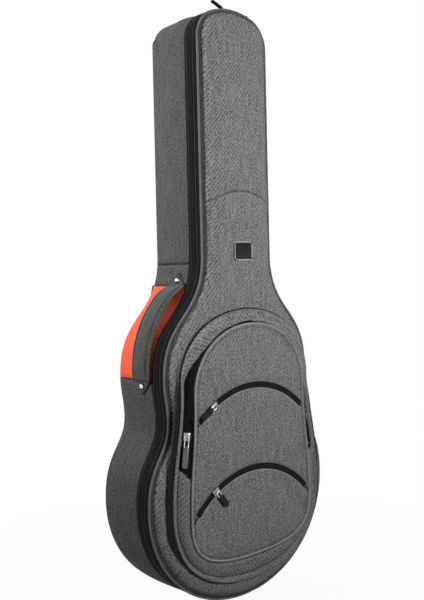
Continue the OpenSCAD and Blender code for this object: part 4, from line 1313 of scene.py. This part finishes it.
def build_pocket_face():
    loop = FACE - outward(FACE) * 0.0024
    rings = [slot_ring(arch, SLOT_HALF) for arch in (LOWER_ARCH, UPPER_ARCH)]
    flat, faces = cut_sheet(loop, rings, 0.005)
    middle = np.array([flat[list(f)].mean(0) for f in faces])
    drop = np.zeros(len(faces), bool)
    for top, half in (LOWER_ARCH, UPPER_ARCH):
        arm = middle - [0, top - ARCH_R]
        r = np.linalg.norm(arm, axis=1)
        a = np.degrees(np.arctan2(arm[:, 1], arm[:, 0]))
        drop |= (np.abs(r - ARCH_R) < SLOT_HALF) & (np.abs(a - 90) < half)
    faces = [f for f, gone in zip(faces, drop) if not gone]
    used = np.unique(np.concatenate([np.asarray(f) for f in faces]))
    place = np.full(len(flat), -1)
    place[used] = np.arange(len(used))
    flat, faces = flat[used], [tuple(place[list(f)]) for f in faces]
    piece = raise_sheet("pocket_face_cloth", flat, faces, np.full(len(flat), -FACE_DEPTH))
    edge = np.minimum(nearest(flat, loop), np.minimum(nearest(flat, rings[0]), nearest(flat, rings[1])))
    held = bump(edge, 0.008)
    held[edge < 0.002] = 1.0
    settle_later(piece, held, 1.6, 0.0045, grow=0.010, bending=0.8)
    return piece, flat, loop, edge


def finish_pocket_face(piece, flat, loop, edge):
    co = coords(piece)
    to_rim = nearest(flat, loop)
    lift = puckers(flat[:, 0] + flat[:, 1], to_rim, 0.011, 0.0008, 0.03, 71)
    lift = lift + 0.0005 * soft_noise(flat[:, 0] / 0.05, flat[:, 1] / 0.04, 72)
    for top, _ in (LOWER_ARCH, UPPER_ARCH):
        arm = flat - [0, top - ARCH_R]
        r = np.linalg.norm(arm, axis=1)
        below = (r < ARCH_R - SLOT_HALF * 0.9) & (r > ARCH_R - 0.05)
        lift += 0.0026 * below * bump(r - (ARCH_R - 0.014), 0.014) * np.clip(to_rim / 0.03, 0, 1)
    co[:, 1] -= lift * np.clip(edge / 0.003, 0, 1)
    set_coords(piece, co)
    thicken(piece, SIDE_CLOTH)
    dress(piece, GREY_FRONT, "grey_front", None, "pocket_face_lower", "pocket_face_upper")
    sheet_area(piece)
    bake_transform(piece)

    inset_face = even(FACE - outward(FACE) * 0.0062, 0.004)
    thread = dashes("pocket_face_thread", [in_front(inset_face, -FACE_DEPTH - 0.002)], piece, 0.0038, 0.0027)
    dress(thread, THREAD_DARK, "zip", None)
    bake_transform(thread)

    for name, (top, half), body in (("lower", LOWER_ARCH, "lid"), ("upper", UPPER_ARCH, "pocket_flap")):
        runs = []
        for sign in (-1, 1):
            a = np.radians(90 + sign * (half + np.linspace(-0.3, 30, 200)))
            run = np.stack([ARCH_R * np.cos(a), top - ARCH_R + ARCH_R * np.sin(a)], 1)
            stop = np.nonzero(nearest(run, FACE) < 0.004)[0]
            run = run[:stop[0]] if len(stop) else run[:40]
            if len(run) > 4:
                runs.append(in_front(run, -FACE_DEPTH - 0.002))
        if runs:
            ends = dashes(f"{name}_zip_end_seam", runs, piece, 0.0030, 0.0031, 0.0030, 0.0009)
            dress(ends, THREAD_DARK, "zip", body)

    line = even(FACE, 0.004)[:-1]
    out = outward(np.concatenate([line, line[:1]]))[:-1]
    side = np.stack([out[:, 0], np.zeros(len(line)), out[:, 1]], 1)
    swell = 1 + 0.05 * soft_noise(np.arange(len(line)) / 3.0, np.zeros(len(line)), 73)
    cord = tube("pocket_piping_cord", in_front(line, -FACE_DEPTH + 0.0004), side,
                repeated(AHEAD, len(line)), CORD_R, True, swell=swell)
    dress(cord, PALE_PIPING, "piping", None, "pocket_piping_lower", "pocket_piping_upper")
    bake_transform(cord)


SMALL_TAPE = 0.0132
# Side of the zip, its name, its place among the teeth, and the size and finish of its welt.
SMALL_SIDES = ((-1, "in", 0.0, 0.0012, PALE_PIPING), (1, "out", 0.5, 0.0009, GREY_PIPING))


def build_small_zips():
    face_y = FRONT - FACE_DEPTH
    for name, (top, half), body, node in (("lower", LOWER_ARCH, "lid", "lower_pocket_zip"),
                                          ("upper", UPPER_ARCH, "pocket_flap", "upper_pocket_zip")):
        a = np.radians(np.linspace(90 + half, 90 - half, 110))
        centre = top - ARCH_R
        r = ARCH_R + np.linspace(-SMALL_TAPE / 2, SMALL_TAPE / 2, 13)
        lift = 0.0005 * np.sin(np.linspace(0, math.pi * 4, 13)) ** 2
        depth = np.repeat(face_y + 0.0003 - lift[None], len(a), 0)
        rows = np.stack([r[None, :] * np.cos(a)[:, None], depth, centre + r[None, :] * np.sin(a)[:, None]], 2)
        piece = thicken(strip(f"{name}_zip_tape", rows, ARCH_R * -a, r), TAPE_CLOTH)
        dress(piece, TAPE, "zip", body, node)

        def frame_at(q):
            zero = np.zeros(len(q))
            place = np.stack([zero, zero + face_y + 0.0002, zero + centre], 1)
            out = repeated(AHEAD, len(q))
            across = np.stack([np.cos(q), zero, np.sin(q)], 1)
            return place, np.cross(out, across), across, out
        step = TOOTH_PITCH / ARCH_R
        for sign, side, shift, _, _ in SMALL_SIDES:
            q = np.arange(a[-1] + step * (1 + shift), a[0] - step, step)
            row = teeth(f"{name}_zip_teeth_{side}", q, frame_at,
                        ARCH_R + sign * COIL_SLOT, ARCH_R + sign * COIL_REACH)
            dress(row, COIL, "zip", body)
        for sign, side, _, radius, finish in SMALL_SIDES:
            rim = ARCH_R + sign * 0.0063
            line = in_front(np.stack([rim * np.cos(a), centre + rim * np.sin(a)], 1), -FACE_DEPTH - 0.0004)
            out = np.stack([np.cos(a), np.zeros(len(a)), np.sin(a)], 1)
            welt = tube(f"{name}_zip_welt_{side}", line, out, repeated(AHEAD, len(a)), radius, False, sides=8,
                        uv_turn=0.007)
            dress(welt, finish, "piping", body)


# Turned and moulded small pieces

def basis(way, out):
    """Axes of a small piece: the way it points, across it, and away from its seat."""
    x, z = Vector(way).normalized(), Vector(out).normalized()
    y = z.cross(x)
    return Matrix(((x.x, y.x, z.x), (x.y, y.y, z.y), (x.z, y.z, z.z)))


def lathe(name, profile, place, out, sides=32):
    """A turned piece from a profile of (radius, height), standing on place and pointing out."""
    out = Vector(out).normalized()
    way = out.orthogonal().normalized()
    axes = basis(way, out)
    verts, faces = [], []
    n = len(profile)
    for k in range(sides):
        a = TURN * k / sides
        for r, h in profile:
            verts.append(Vector(place) + axes @ Vector((r * math.cos(a), r * math.sin(a), h)))
    for k in range(sides):
        m = (k + 1) % sides
        for j in range(n - 1):
            faces.append((k * n + j, m * n + j, m * n + j + 1, k * n + j + 1))
    piece = new_mesh(name, verts, faces)
    start_edit(piece)
    bpy.ops.mesh.remove_doubles(threshold=1e-6)
    bpy.ops.mesh.normals_make_consistent(inside=False)
    end_edit()
    return piece


def crisp(piece, angle=35):
    select(piece)
    bpy.ops.object.shade_smooth_by_angle(angle=math.radians(angle))
    return piece


def left_at(z, depth, lift):
    """A place on the bag's left side, and the way away from it."""
    point, normal = bag_at([side_s(z, -1)])
    out = Vector((normal[0, 0], 0, normal[0, 1]))
    return Vector((point[0, 0], FRONT + depth, point[0, 1])) + out * lift, out


# The handle

HANDLE_WIDTH, HANDLE_THICK = 0.050, 0.008


def pad_section(width, thick, stitch_in):
    """Places across a padded strap, its half thickness there, and where its two stitched lines pinch it."""
    y = width / 2 * np.sin(np.linspace(-math.pi / 2, math.pi / 2, 40))
    t = np.abs(y) / (width / 2)
    half = thick / 2 * np.sqrt(np.clip(1 - t ** 6, 0, 1))
    pinch = bump(np.abs(y) - (width / 2 - stitch_in), 0.0035)
    return y, half * (1 - 0.5 * pinch), pinch


def padded_strap(name, line, tangent_out, across, width, thick, stitch_in, wobble_seed):
    """A padded strap along a line, with its outer side first. Returns the piece and where it is stitched."""
    y, half, pinch = pad_section(width, thick, stitch_in)
    s = along(line)
    ends = np.minimum(s, s[-1] - s)
    rows = []
    for k in range(len(line)):
        wave = 0.0009 * soft_noise(s[k] / 0.022 + y / 0.05, y / 0.03, wobble_seed) * (ends[k] > 0.004)
        flat = np.clip(0.55 + ends[k] / 0.05, 0, 1)
        top = line[k] + across[k] * y[:, None] + tangent_out[k] * ((half * flat + wave)[:, None])
        low = line[k] + across[k] * y[::-1][1:-1, None] - tangent_out[k] * ((half * flat)[::-1][1:-1, None])
        rows.append(np.concatenate([top, low]))
    rows = np.array(rows)
    v = np.concatenate([y, width + y[1:-1], [1.5 * width]])
    piece = strip(name, rows, s, v, tube=True)
    close_ends(piece)
    faced(piece)
    around = np.concatenate([pinch, pinch[::-1][1:-1]])
    edge = np.concatenate([np.abs(y), np.abs(y[::-1][1:-1])]) > width / 2 - 0.5 * stitch_in
    sewn_ends = np.repeat(bump(ends, 0.02), rows.shape[1])
    return piece, np.maximum(np.tile(np.maximum(around, edge), len(line)), sewn_ends)


def build_handle():
    seat = HANDLE_THICK / 2 + 0.0006
    top, low = -side_half(HANDLE_TOP) - seat, -side_half(HANDLE_LOW) - seat
    bow = [(top, HANDLE_TOP), (top - 0.050, HANDLE_TOP - 0.020),
           (low - 0.010, HANDLE_LOW + 0.070), (low, HANDLE_LOW)]
    path = even(bezier(bow, np.linspace(0, 1, 120)), 0.004)
    way = heading(path)
    out = np.stack([way[:, 1], np.zeros(len(way)), -way[:, 0]], 1)
    line = np.stack([path[:, 0], np.full(len(path), FRONT + HANDLE_DEPTH), path[:, 1]], 1)
    across = repeated(BEHIND, len(path))
    piece, held = padded_strap("handle_pad", line, out, across, HANDLE_WIDTH, HANDLE_THICK, 0.006, 81)
    settle_later(piece, held, 3.0, 0.0022, grow=0.006, bending=1.0)
    seams = [line + across * y + out * 0.004 for y in (-0.0195, 0.0195, -0.0165)]
    return piece, [q[3:-3] for q in seams]


def finish_handle(piece, seams):
    dress(piece, GREY_STRAP, "grey_side", "shell", "handle_strap")
    dress(dashes("handle_thread", seams, piece, 0.0040, 0.0028), THREAD_DARK, "zip", "shell")


TAB_HALF, TAB_SHOULDER, TAB_POINT = 0.022, 0.006, 0.030
# Profiles of the rivets and of the black rubber washers under them, as (radius, height). The washers' dark
# rings also paint the shade around each rivet.
RIVET = [(0.0, 0.0036), (0.0016, 0.0034), (0.0030, 0.0027), (0.0041, 0.0017), (0.0047, 0.0006),
         (0.0047, -0.0008), (0.0, -0.0008)]
SHADE_WASHER = [(0.0, 0.0004), (0.0056, 0.0004), (0.0065, -0.0002), (0.0067, -0.0012), (0.0, -0.0012)]


def build_tabs_and_rivets():
    made, threads = [], []
    front, behind = HANDLE_DEPTH - TAB_HALF, HANDLE_DEPTH + TAB_HALF
    for z, up, label in ((HANDLE_TOP - 0.004, 1, "top"), (HANDLE_LOW + 0.004, -1, "low")):
        shoulder = z + up * TAB_SHOULDER
        corners = np.array([(front, z), (behind, z), (behind, shoulder),
                            (HANDLE_DEPTH, z + up * TAB_POINT), (front, shoulder), (front, z)])
        if up < 0:
            corners = corners[::-1]
        flat, faces = cut_sheet(corners, step=0.003)
        rim = nearest(flat, corners)
        places = [left_at(q[1], q[0], 0.0042 - 0.0012 * float(bump(d, 0.003)))[0] for q, d in zip(flat, rim)]
        uv = [tuple(flat[i]) for f in faces for i in f]
        piece = new_mesh(f"handle_tab_{label}", places, faces, uv)
        if sum(f.normal.x for f in piece.data.polygons) > 0:
            piece.data.flip_normals()
        made.append(thicken(piece, SIDE_CLOTH))
        inner = mix(corners[:-1].mean(0), corners, 0.90)
        threads.append((piece, [[left_at(q[1], q[0], 0.0045)[0] for q in even(inner, 0.003)]], label))
    for piece, seams, label in threads:
        sewn = dashes(f"tab_thread_{label}", seams, piece, 0.0028, 0.0025, 0.0014)
        dress(sewn, THREAD_DARK, "zip", "shell")
    dress(made[0], GREY_STRAP, "grey_side", "shell", "handle_tabs")
    dress(made[1], GREY_STRAP, "grey_side", "shell")
    caps, shade_washers = [], []
    for z in (HANDLE_TOP + 0.009, HANDLE_LOW - 0.009):
        place, out = left_at(z, HANDLE_DEPTH, 0.0052)
        caps.append(lathe("rivet", RIVET, place, out))
        shade_washers.append(lathe("washer", SHADE_WASHER, place, out))
    dress(crisp(joined("handle_rivet_caps", caps)), NICKEL, "metal", "shell", "handle_rivets")
    # Black rubber washers, whose dark rings also paint the shade around the rivets.
    dress(crisp(joined("handle_rivet_washers_and_painted_shade", shade_washers)), RUBBER, "rubber", "shell")


# The patch and the feet

def select_faces(piece, test):
    """Selects the faces whose centre and normal pass a test, and leaves edit mode on."""
    select(piece)
    bpy.ops.object.mode_set(mode="EDIT")
    bpy.ops.mesh.select_mode(type="FACE")
    bm = bmesh.from_edit_mesh(piece.data)
    for face in bm.faces:
        face.select = bool(test(face.calc_center_median(), face.normal))
    bm.select_flush_mode()
    bmesh.update_edit_mesh(piece.data)


PATCH_RIM_WIDTH = 0.0028


def build_patch():
    low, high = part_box("front_patch")
    size, centre = high - low, (high + low) / 2
    bpy.ops.object.select_all(action="DESELECT")
    bpy.ops.mesh.primitive_cube_add(size=1, location=centre)
    piece = bpy.context.object
    piece.name = "chest_patch"
    piece.scale = size
    bpy.ops.object.transform_apply(location=True, rotation=True, scale=True)
    bpy.ops.object.mode_set(mode="EDIT")
    bm = bmesh.from_edit_mesh(piece.data)
    for edge in bm.edges:
        a, b = edge.verts
        edge.select = abs(a.co.x - b.co.x) < 1e-6 and abs(a.co.z - b.co.z) < 1e-6
    bmesh.update_edit_mesh(piece.data)
    bpy.ops.mesh.bevel(offset=0.008, segments=8, affect="EDGES")
    end_edit()
    select_faces(piece, lambda c, n: n.y < -0.9)
    bpy.ops.mesh.inset(thickness=0.0016)
    bpy.ops.mesh.inset(thickness=0.0014, depth=-0.0010)
    bpy.ops.mesh.inset(thickness=0.0030, depth=0.0)
    bpy.ops.mesh.inset(thickness=0.0006, depth=-0.0003)
    end_edit()
    apply(piece, "BEVEL", width=0.0004, segments=2, limit_method="ANGLE", angle_limit=math.radians(40))
    dress(crisp(piece), PATCH_RIM, "patch", "lid", "front_patch")
    piece.data.materials.append(PATCH_PLATE)
    half_x, half_z = size.x / 2 - PATCH_RIM_WIDTH, size.z / 2 - PATCH_RIM_WIDTH
    for face in piece.data.polygons:
        c = face.center - centre
        if face.normal.y < -0.5 and abs(c.x) < half_x and abs(c.z) < half_z:
            face.material_index = 1


FOOT = [(0.0, 0.0), (0.0070, 0.0), (0.0088, 0.0006), (0.0098, 0.0020), (0.0104, 0.0045), (0.0110, 0.0060),
        (0.0110, 0.0125), (0.0, 0.0125)]
FOOT_X, FOOT_DEPTHS = 0.046, (0.044, 0.112)


def build_feet():
    feet = []
    for x in (-FOOT_X, FOOT_X):
        for depth in FOOT_DEPTHS:
            feet.append(lathe("foot", FOOT, (x, FRONT + depth, 0), (0, 0, 1)))
    dress(crisp(joined("rubber_nubs", feet)), RUBBER, "rubber", "shell", "rubber_feet")


# Zip hardware

def node_copy(node, name):
    """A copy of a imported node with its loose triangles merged, left open in edit mode."""
    piece = bpy.data.objects.new(name, frame["nodes"][node].data.copy())
    bpy.context.scene.collection.objects.link(piece)
    start_edit(piece)
    bpy.ops.mesh.remove_doubles(threshold=2e-6)
    return piece


def softened(node, name, width, segments=2):
    """A copy of a rigid node with its edges rounded over."""
    piece = node_copy(node, name)
    bpy.ops.mesh.dissolve_limited(angle_limit=math.radians(2))
    bpy.ops.mesh.normals_make_consistent(inside=False)
    end_edit()
    apply(piece, "BEVEL", width=width, segments=segments, limit_method="ANGLE", angle_limit=math.radians(38),
          use_clamp_overlap=True)
    return crisp(piece, 32)


RING_R, EYE_R = 0.0009, 0.0013
SHORT_RING, LONG_RING = 0.0096, 0.018
PIN_H = 0.00595
TAB_THICK = 0.0024
RIDGE_R, RIM_R = 0.00055, 0.0006
# Degrees from the top of their arches at which the small pockets' sliders rest, and of the lower tab's fall.
ARCH_SLIDER, LOWER_FALL = 31, 51


def tab_start(ring_l):
    """Distance from a puller's pin to the near end of its tab."""
    return ring_l + RING_R + 2 * (EYE_R - RING_R)


def tab_points(pin, axes, x, y, face):
    """Points on one face of a puller's tab, from places along and across it."""
    return np.array([Vector(pin) + axes @ Vector((p, q, face * TAB_THICK * 0.5)) for p, q in zip(x, y)])


def grip(name, pin, way, out, ring_l, length, width, ridges):
    """Raised ridges on both faces of a puller's tab."""
    axes = basis(way, out)
    y = np.linspace(-width * 0.34, width * 0.34, 7)
    swell = np.sin(np.linspace(0.35, math.pi - 0.35, 7)) ** 0.4
    ahead, above = (repeated(axes @ Vector(v), len(y)) for v in ((1, 0, 0), (0, 0, 1)))
    bars = []
    for face in (-1, 1):
        for k in range(ridges):
            x = tab_start(ring_l) + length * (0.34 + 0.52 * k / max(1, ridges - 1))
            centre = tab_points(pin, axes, np.full(len(y), x), y, face)
            bars.append(tube("ridge", centre, ahead, above, RIDGE_R, False, sides=8, swell=swell))
    return joined(name, bars)


def tab_rim(name, pin, way, out, ring_l, length, width):
    """A raised rim with rounded corners on both faces of a puller's tab."""
    axes = basis(way, out)
    t = np.linspace(0, TURN, 48, endpoint=False)
    long_half, wide_half = length * 0.30, width * 0.28
    x = np.sign(np.cos(t)) * np.abs(np.cos(t)) ** 0.5 * long_half + tab_start(ring_l) + length * 0.52
    y = np.sign(np.sin(t)) * np.abs(np.sin(t)) ** 0.5 * wide_half
    above = repeated(axes @ Vector((0, 0, 1)), len(t))
    rims = []
    for face in (-1, 1):
        line = tab_points(pin, axes, x, y, face)
        arm = line - line.mean(0)
        arm /= np.linalg.norm(arm, axis=1)[:, None]
        rims.append(tube("rim", line, arm, above, RIM_R, True, sides=8))
    return joined(name, rims)


def build_hardware():
    r = HEAD_R + PIN_H
    arch_a = math.radians(90 + ARCH_SLIDER)
    lean, fall = math.radians(ARCH_SLIDER), math.radians(LOWER_FALL)
    face_y = FRONT - FACE_DEPTH + 0.0003 - PIN_H
    joints = {j["name"]: j for j in frame["joints"]}
    kinds = []
    for label, a, side, lift in (("left", 1, -1, 20), ("right", 10, 1, 10)):
        a, lift = math.radians(a), math.radians(lift)
        flat, up = Vector((side * math.cos(a), 0, -side * math.sin(a))), Vector((math.sin(a), 0, math.cos(a)))
        kinds.append((f"main_{label}", f"main_slider_{label}", f"main_ring_{label}", f"main_tab_{label}",
                      f"{label}_slider", f"{label}_puller",
                      (r * math.sin(a), FRONT + ZIP_DEPTH, HEAD_Z + r * math.cos(a)),
                      tuple(flat * math.cos(lift) + up * math.sin(lift)),
                      tuple(up * math.cos(lift) - flat * math.sin(lift)),
                      SHORT_RING, 0.024, 0.008, 5))
    for label, body, (top, _), way in (
            ("upper", "flap", UPPER_ARCH, (-math.cos(lean), 0, -math.sin(lean))),
            ("lower", "low", LOWER_ARCH, (math.cos(fall), 0, -math.sin(fall)))):
        pin = (ARCH_R * math.cos(arch_a), face_y, top - ARCH_R + ARCH_R * math.sin(arch_a))
        kinds.append((label, f"{label}_slider", f"{label}_ring", f"{label}_tab",
                      f"{body}_slider", f"{body}_puller", pin, way, AHEAD, SHORT_RING, 0.026, 0.011, 6))
    run = Vector(joints["big_slider_run"]["axis"]).normalized()
    pin = Vector(joints["big_puller_swing"]["pos_m"])
    swing_axis = Vector(joints["big_puller_swing"]["axis"]).normalized()
    out = run.cross(swing_axis)
    out = out if out.y < 0 else -out
    kinds.append(("pocket", "pocket_slider", "pocket_ring", "pocket_tab", "big_slider", "big_puller",
                  tuple(pin), tuple(run), tuple(out), LONG_RING, 0.034, 0.010, 0))
    for name, slider, ring, tab, body, puller, pin, way, out, ring_l, length, width, ridges in kinds:
        dress(softened(slider, f"{name}_slider_body", 0.00035), SLIDER, "slider_metal", body, slider)
        dress(softened(ring, f"{name}_pull_ring", 0.0001, 1), NICKEL, "metal", puller, ring)
        tab_piece = softened(tab, f"{name}_pull_tab", 0.0007, 3)
        dress(tab_piece, STEEL_TAB if name == "pocket" else RUBBER, "pull_tab", puller, tab)
        if ridges:
            ribs = grip(f"{name}_pull_grip", pin, way, out, ring_l, length, width, ridges)
            dress(ribs, RUBBER, "pull_tab", puller)
        else:
            rim = tab_rim(f"{name}_pull_rim", pin, way, out, ring_l, length, width)
            dress(rim, STEEL_TAB, "pull_tab", puller)


# Straps and loop on the back

STRAP_X = 0.058
STRAP_SEAT, STRAP_BOW = 0.1466, 0.026
STRAP_WIDTH, STRAP_THICK = 0.060, 0.0115
WEB_WIDTH, WEB_THICK = 0.038, 0.002
WEB_LOW, WEB_HIGH = 0.2245, 0.5775
YOKE_HALF, YOKE_LOW, YOKE_HIGH = 0.076, 0.579, 0.623
ANCHOR_LOW, ANCHOR_HIGH, ANCHOR_WIDE, ANCHOR_SLIM = 0.190, 0.224, 0.027, 0.019
LOOP_Z, LOOP_LENGTH, LOOP_FOOT, LOOP_BOW, LOOP_SEAT = 0.960, 0.090, 0.022, 0.040, 0.1398


def woven(name, line, out, across, width, thick, step=0.004):
    """A flat woven webbing along a line."""
    line = even(np.asarray(line, float), step)
    across = repeated(across, len(line))
    lift = np.cross(heading(line), across)
    if (lift * np.asarray(out)).sum() < 0:
        lift = -lift
    y = np.linspace(-width / 2, width / 2, 9)
    half = thick / 2 - 0.0004 * bump(np.abs(y) - width / 2, 0.004)
    rows = line[:, None] + across[:, None] * y[None, :, None] + lift[:, None] * half[None, :, None]
    piece = strip(name, rows, along(line), y)
    if (np.array([f.normal for f in piece.data.polygons]).mean(0) * np.asarray(out)).sum() < 0:
        piece.data.flip_normals()
    return thicken(piece, thick)


def build_straps():
    made = []
    bowed = STRAP_SEAT + STRAP_BOW
    bow = [(STRAP_SEAT, 0.590), (bowed, 0.525), (bowed, 0.395), (STRAP_SEAT, 0.330)]
    for side, node in ((-1, "shoulder_strap_left"), (1, "shoulder_strap_right")):
        path = even(bezier(bow, np.linspace(0, 1, 120)), 0.006)
        way = heading(path)
        out = np.stack([np.zeros(len(way)), -way[:, 1], way[:, 0]], 1)
        line = np.stack([np.full(len(path), side * STRAP_X), FRONT + path[:, 0], path[:, 1]], 1)
        across = repeated((1, 0, 0), len(path))
        piece, held = padded_strap(f"{node}_pad", line, out, across, STRAP_WIDTH, STRAP_THICK, 0.007,
                                   90 + side)
        settle_later(piece, held, 3.0, 0.0016, grow=0.004, bending=1.2)
        seams = [(line + across * x + out * 0.005)[2:-2] for x in (-0.023, 0.023)]
        made.append((piece, node, seams))
    back = FRONT + BACK_FACE
    webs = []
    for side in (-1, 1):
        line = [(side * STRAP_X, back + 0.001, z) for z in np.linspace(WEB_LOW, WEB_HIGH, 60)]
        webs.append(woven("web", line, BEHIND, (1, 0, 0), WEB_WIDTH, WEB_THICK))
    dress(joined("strap_webbing_cloth", webs), WEBBING, "webbing", "shell", "strap_webbing")
    frames = softened("strap_buckles", "strap_buckle_frames", 0.0009, 3)
    dress(frames, BUCKLE, "buckle", "shell", "strap_buckles")
    yoke = [(-YOKE_HALF, YOKE_LOW), (YOKE_HALF, YOKE_LOW), (YOKE_HALF, YOKE_HIGH), (-YOKE_HALF, YOKE_HIGH)]
    anchor = [(-ANCHOR_WIDE, ANCHOR_LOW), (ANCHOR_WIDE, ANCHOR_LOW),
              (ANCHOR_SLIM, ANCHOR_HIGH), (-ANCHOR_SLIM, ANCHOR_HIGH)]
    anchors = [[(side * STRAP_X + x, z) for x, z in anchor] for side in (-1, 1)]
    for name, node, corners in (("strap_yoke_cloth", "strap_yoke", [yoke]),
                                ("strap_anchor_cloth", "strap_anchors", anchors)):
        parts, threads = [], []
        for k, loop in enumerate(corners):
            loop = np.array(loop + loop[:1])
            flat, faces = cut_sheet(loop, step=0.005)
            rim = nearest(flat, loop)
            depth = BACK_FACE + 0.0020 - 0.0010 * bump(rim, 0.003) - 0.0005 * bump(rim - 0.005, 0.003)
            part = to_back(raise_sheet(f"{name}_{k}", flat, faces, depth))
            threads.append(mix(loop[:-1].mean(0), loop, 0.90))
            parts.append(thicken(part, 0.0017))
        piece = joined(name, parts)
        dress(piece, GREY_SIDE, "grey_side", "shell", node)
        sewn = dashes(f"{name}_thread", [in_front(line, 0.1403) for line in threads], piece, 0.004, 0.0028)
        dress(sewn, THREAD_DARK, "zip", "shell")
    low, high, bowed = LOOP_Z + LOOP_FOOT, LOOP_Z + LOOP_LENGTH - LOOP_FOOT, LOOP_SEAT + LOOP_BOW
    bow = bezier([(LOOP_SEAT, low), (bowed, low), (bowed, high), (LOOP_SEAT, high)], np.linspace(0, 1, 60))
    path = np.concatenate([[(LOOP_SEAT, LOOP_Z)], bow, [(LOOP_SEAT, LOOP_Z + LOOP_LENGTH)]])
    line = np.stack([np.zeros(len(path)), FRONT + path[:, 0], path[:, 1]], 1)
    piece = woven("hang_loop_webbing", line, BEHIND, (1, 0, 0), 0.030, 0.0028, 0.003)
    dress(piece, WEBBING, "webbing", "shell", "hang_loop")
    crosses = ((0.963, 0.978), (0.978, 0.963), (1.032, 1.047), (1.047, 1.032))
    seams = [[(0.012, FRONT + 0.142, z0), (-0.012, FRONT + 0.142, z1)] for z0, z1 in crosses]
    dress(dashes("hang_loop_thread", seams, piece, 0.0035, 0.0025), THREAD_GREY, "webbing", "shell")
    return made


def finish_straps(made):
    for piece, node, seams in made:
        dress(piece, GREY_STRAP, "grey_side", "shell", node)
        sewn = dashes(f"{node}_thread", seams, piece, 0.0042, 0.003)
        dress(sewn, THREAD_DARK, "zip", "shell")


# Inside pieces

def plump(node, name, voxel, slack, pressure, cap):
    """A stuffed piece in a node's space: a little smaller than the solid, then swollen by its filling."""
    piece = node_copy(node, name)
    end_edit()
    apply(piece, "REMESH", mode="VOXEL", voxel_size=voxel, use_smooth_shade=True)
    normals = np.array([v.normal for v in piece.data.vertices])
    set_coords(piece, coords(piece) - normals * slack)
    settle_later(piece, np.zeros(len(piece.data.vertices)), pressure, cap, bending=1.5)
    return piece


def build_inside():
    rest = plump("neck_rest", "neck_rest_pad", 0.005, 0.0018, 2.5, 0.0022)
    block = plump("end_pad", "end_pad_block", 0.006, 0.0018, 2.5, 0.0022)
    low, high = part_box("neck_strap")
    z = (low.z + high.z) / 2
    y = (low.y + high.y) / 2
    line = [(x, y, z) for x in np.linspace(low.x, high.x, 40)]
    piece = woven("neck_strap_webbing", line, AHEAD, (0, 0, 1), high.z - low.z, 0.0019)
    dress(piece, WEBBING, "webbing", "shell", "neck_strap")
    rows = (low.x + 0.006, high.x - 0.006, 0.012)
    seams = [[(x, y - 0.002, z - 0.016), (x, y - 0.002, z + 0.016)] for x in rows]
    dress(dashes("neck_strap_thread", seams, piece, 0.0035, 0.0025), THREAD_GREY, "webbing", "shell")
    return rest, block


def finish_inside(rest, block):
    for piece, node in ((rest, "neck_rest"), (block, "end_pad")):
        apply(piece, "SUBSURF", levels=1, render_levels=1)
        dress(piece, PLUSH, "padding", "shell", node)


front_made, arch_seam = build_front()
face_made = build_pocket_face()
handle_made = build_handle()
straps_made = build_straps()
inside_made = build_inside()
build_gusset()
build_zip_tapes()
build_piping()
build_hinge()
build_back()
build_pocket_side()
build_pocket_zip()
build_small_zips()
build_tabs_and_rivets()
build_patch()
build_feet()
build_hardware()
settle_all()
finish_front(front_made, arch_seam)
finish_pocket_face(*face_made)
finish_handle(*handle_made)
finish_straps(straps_made)
finish_inside(*inside_made)
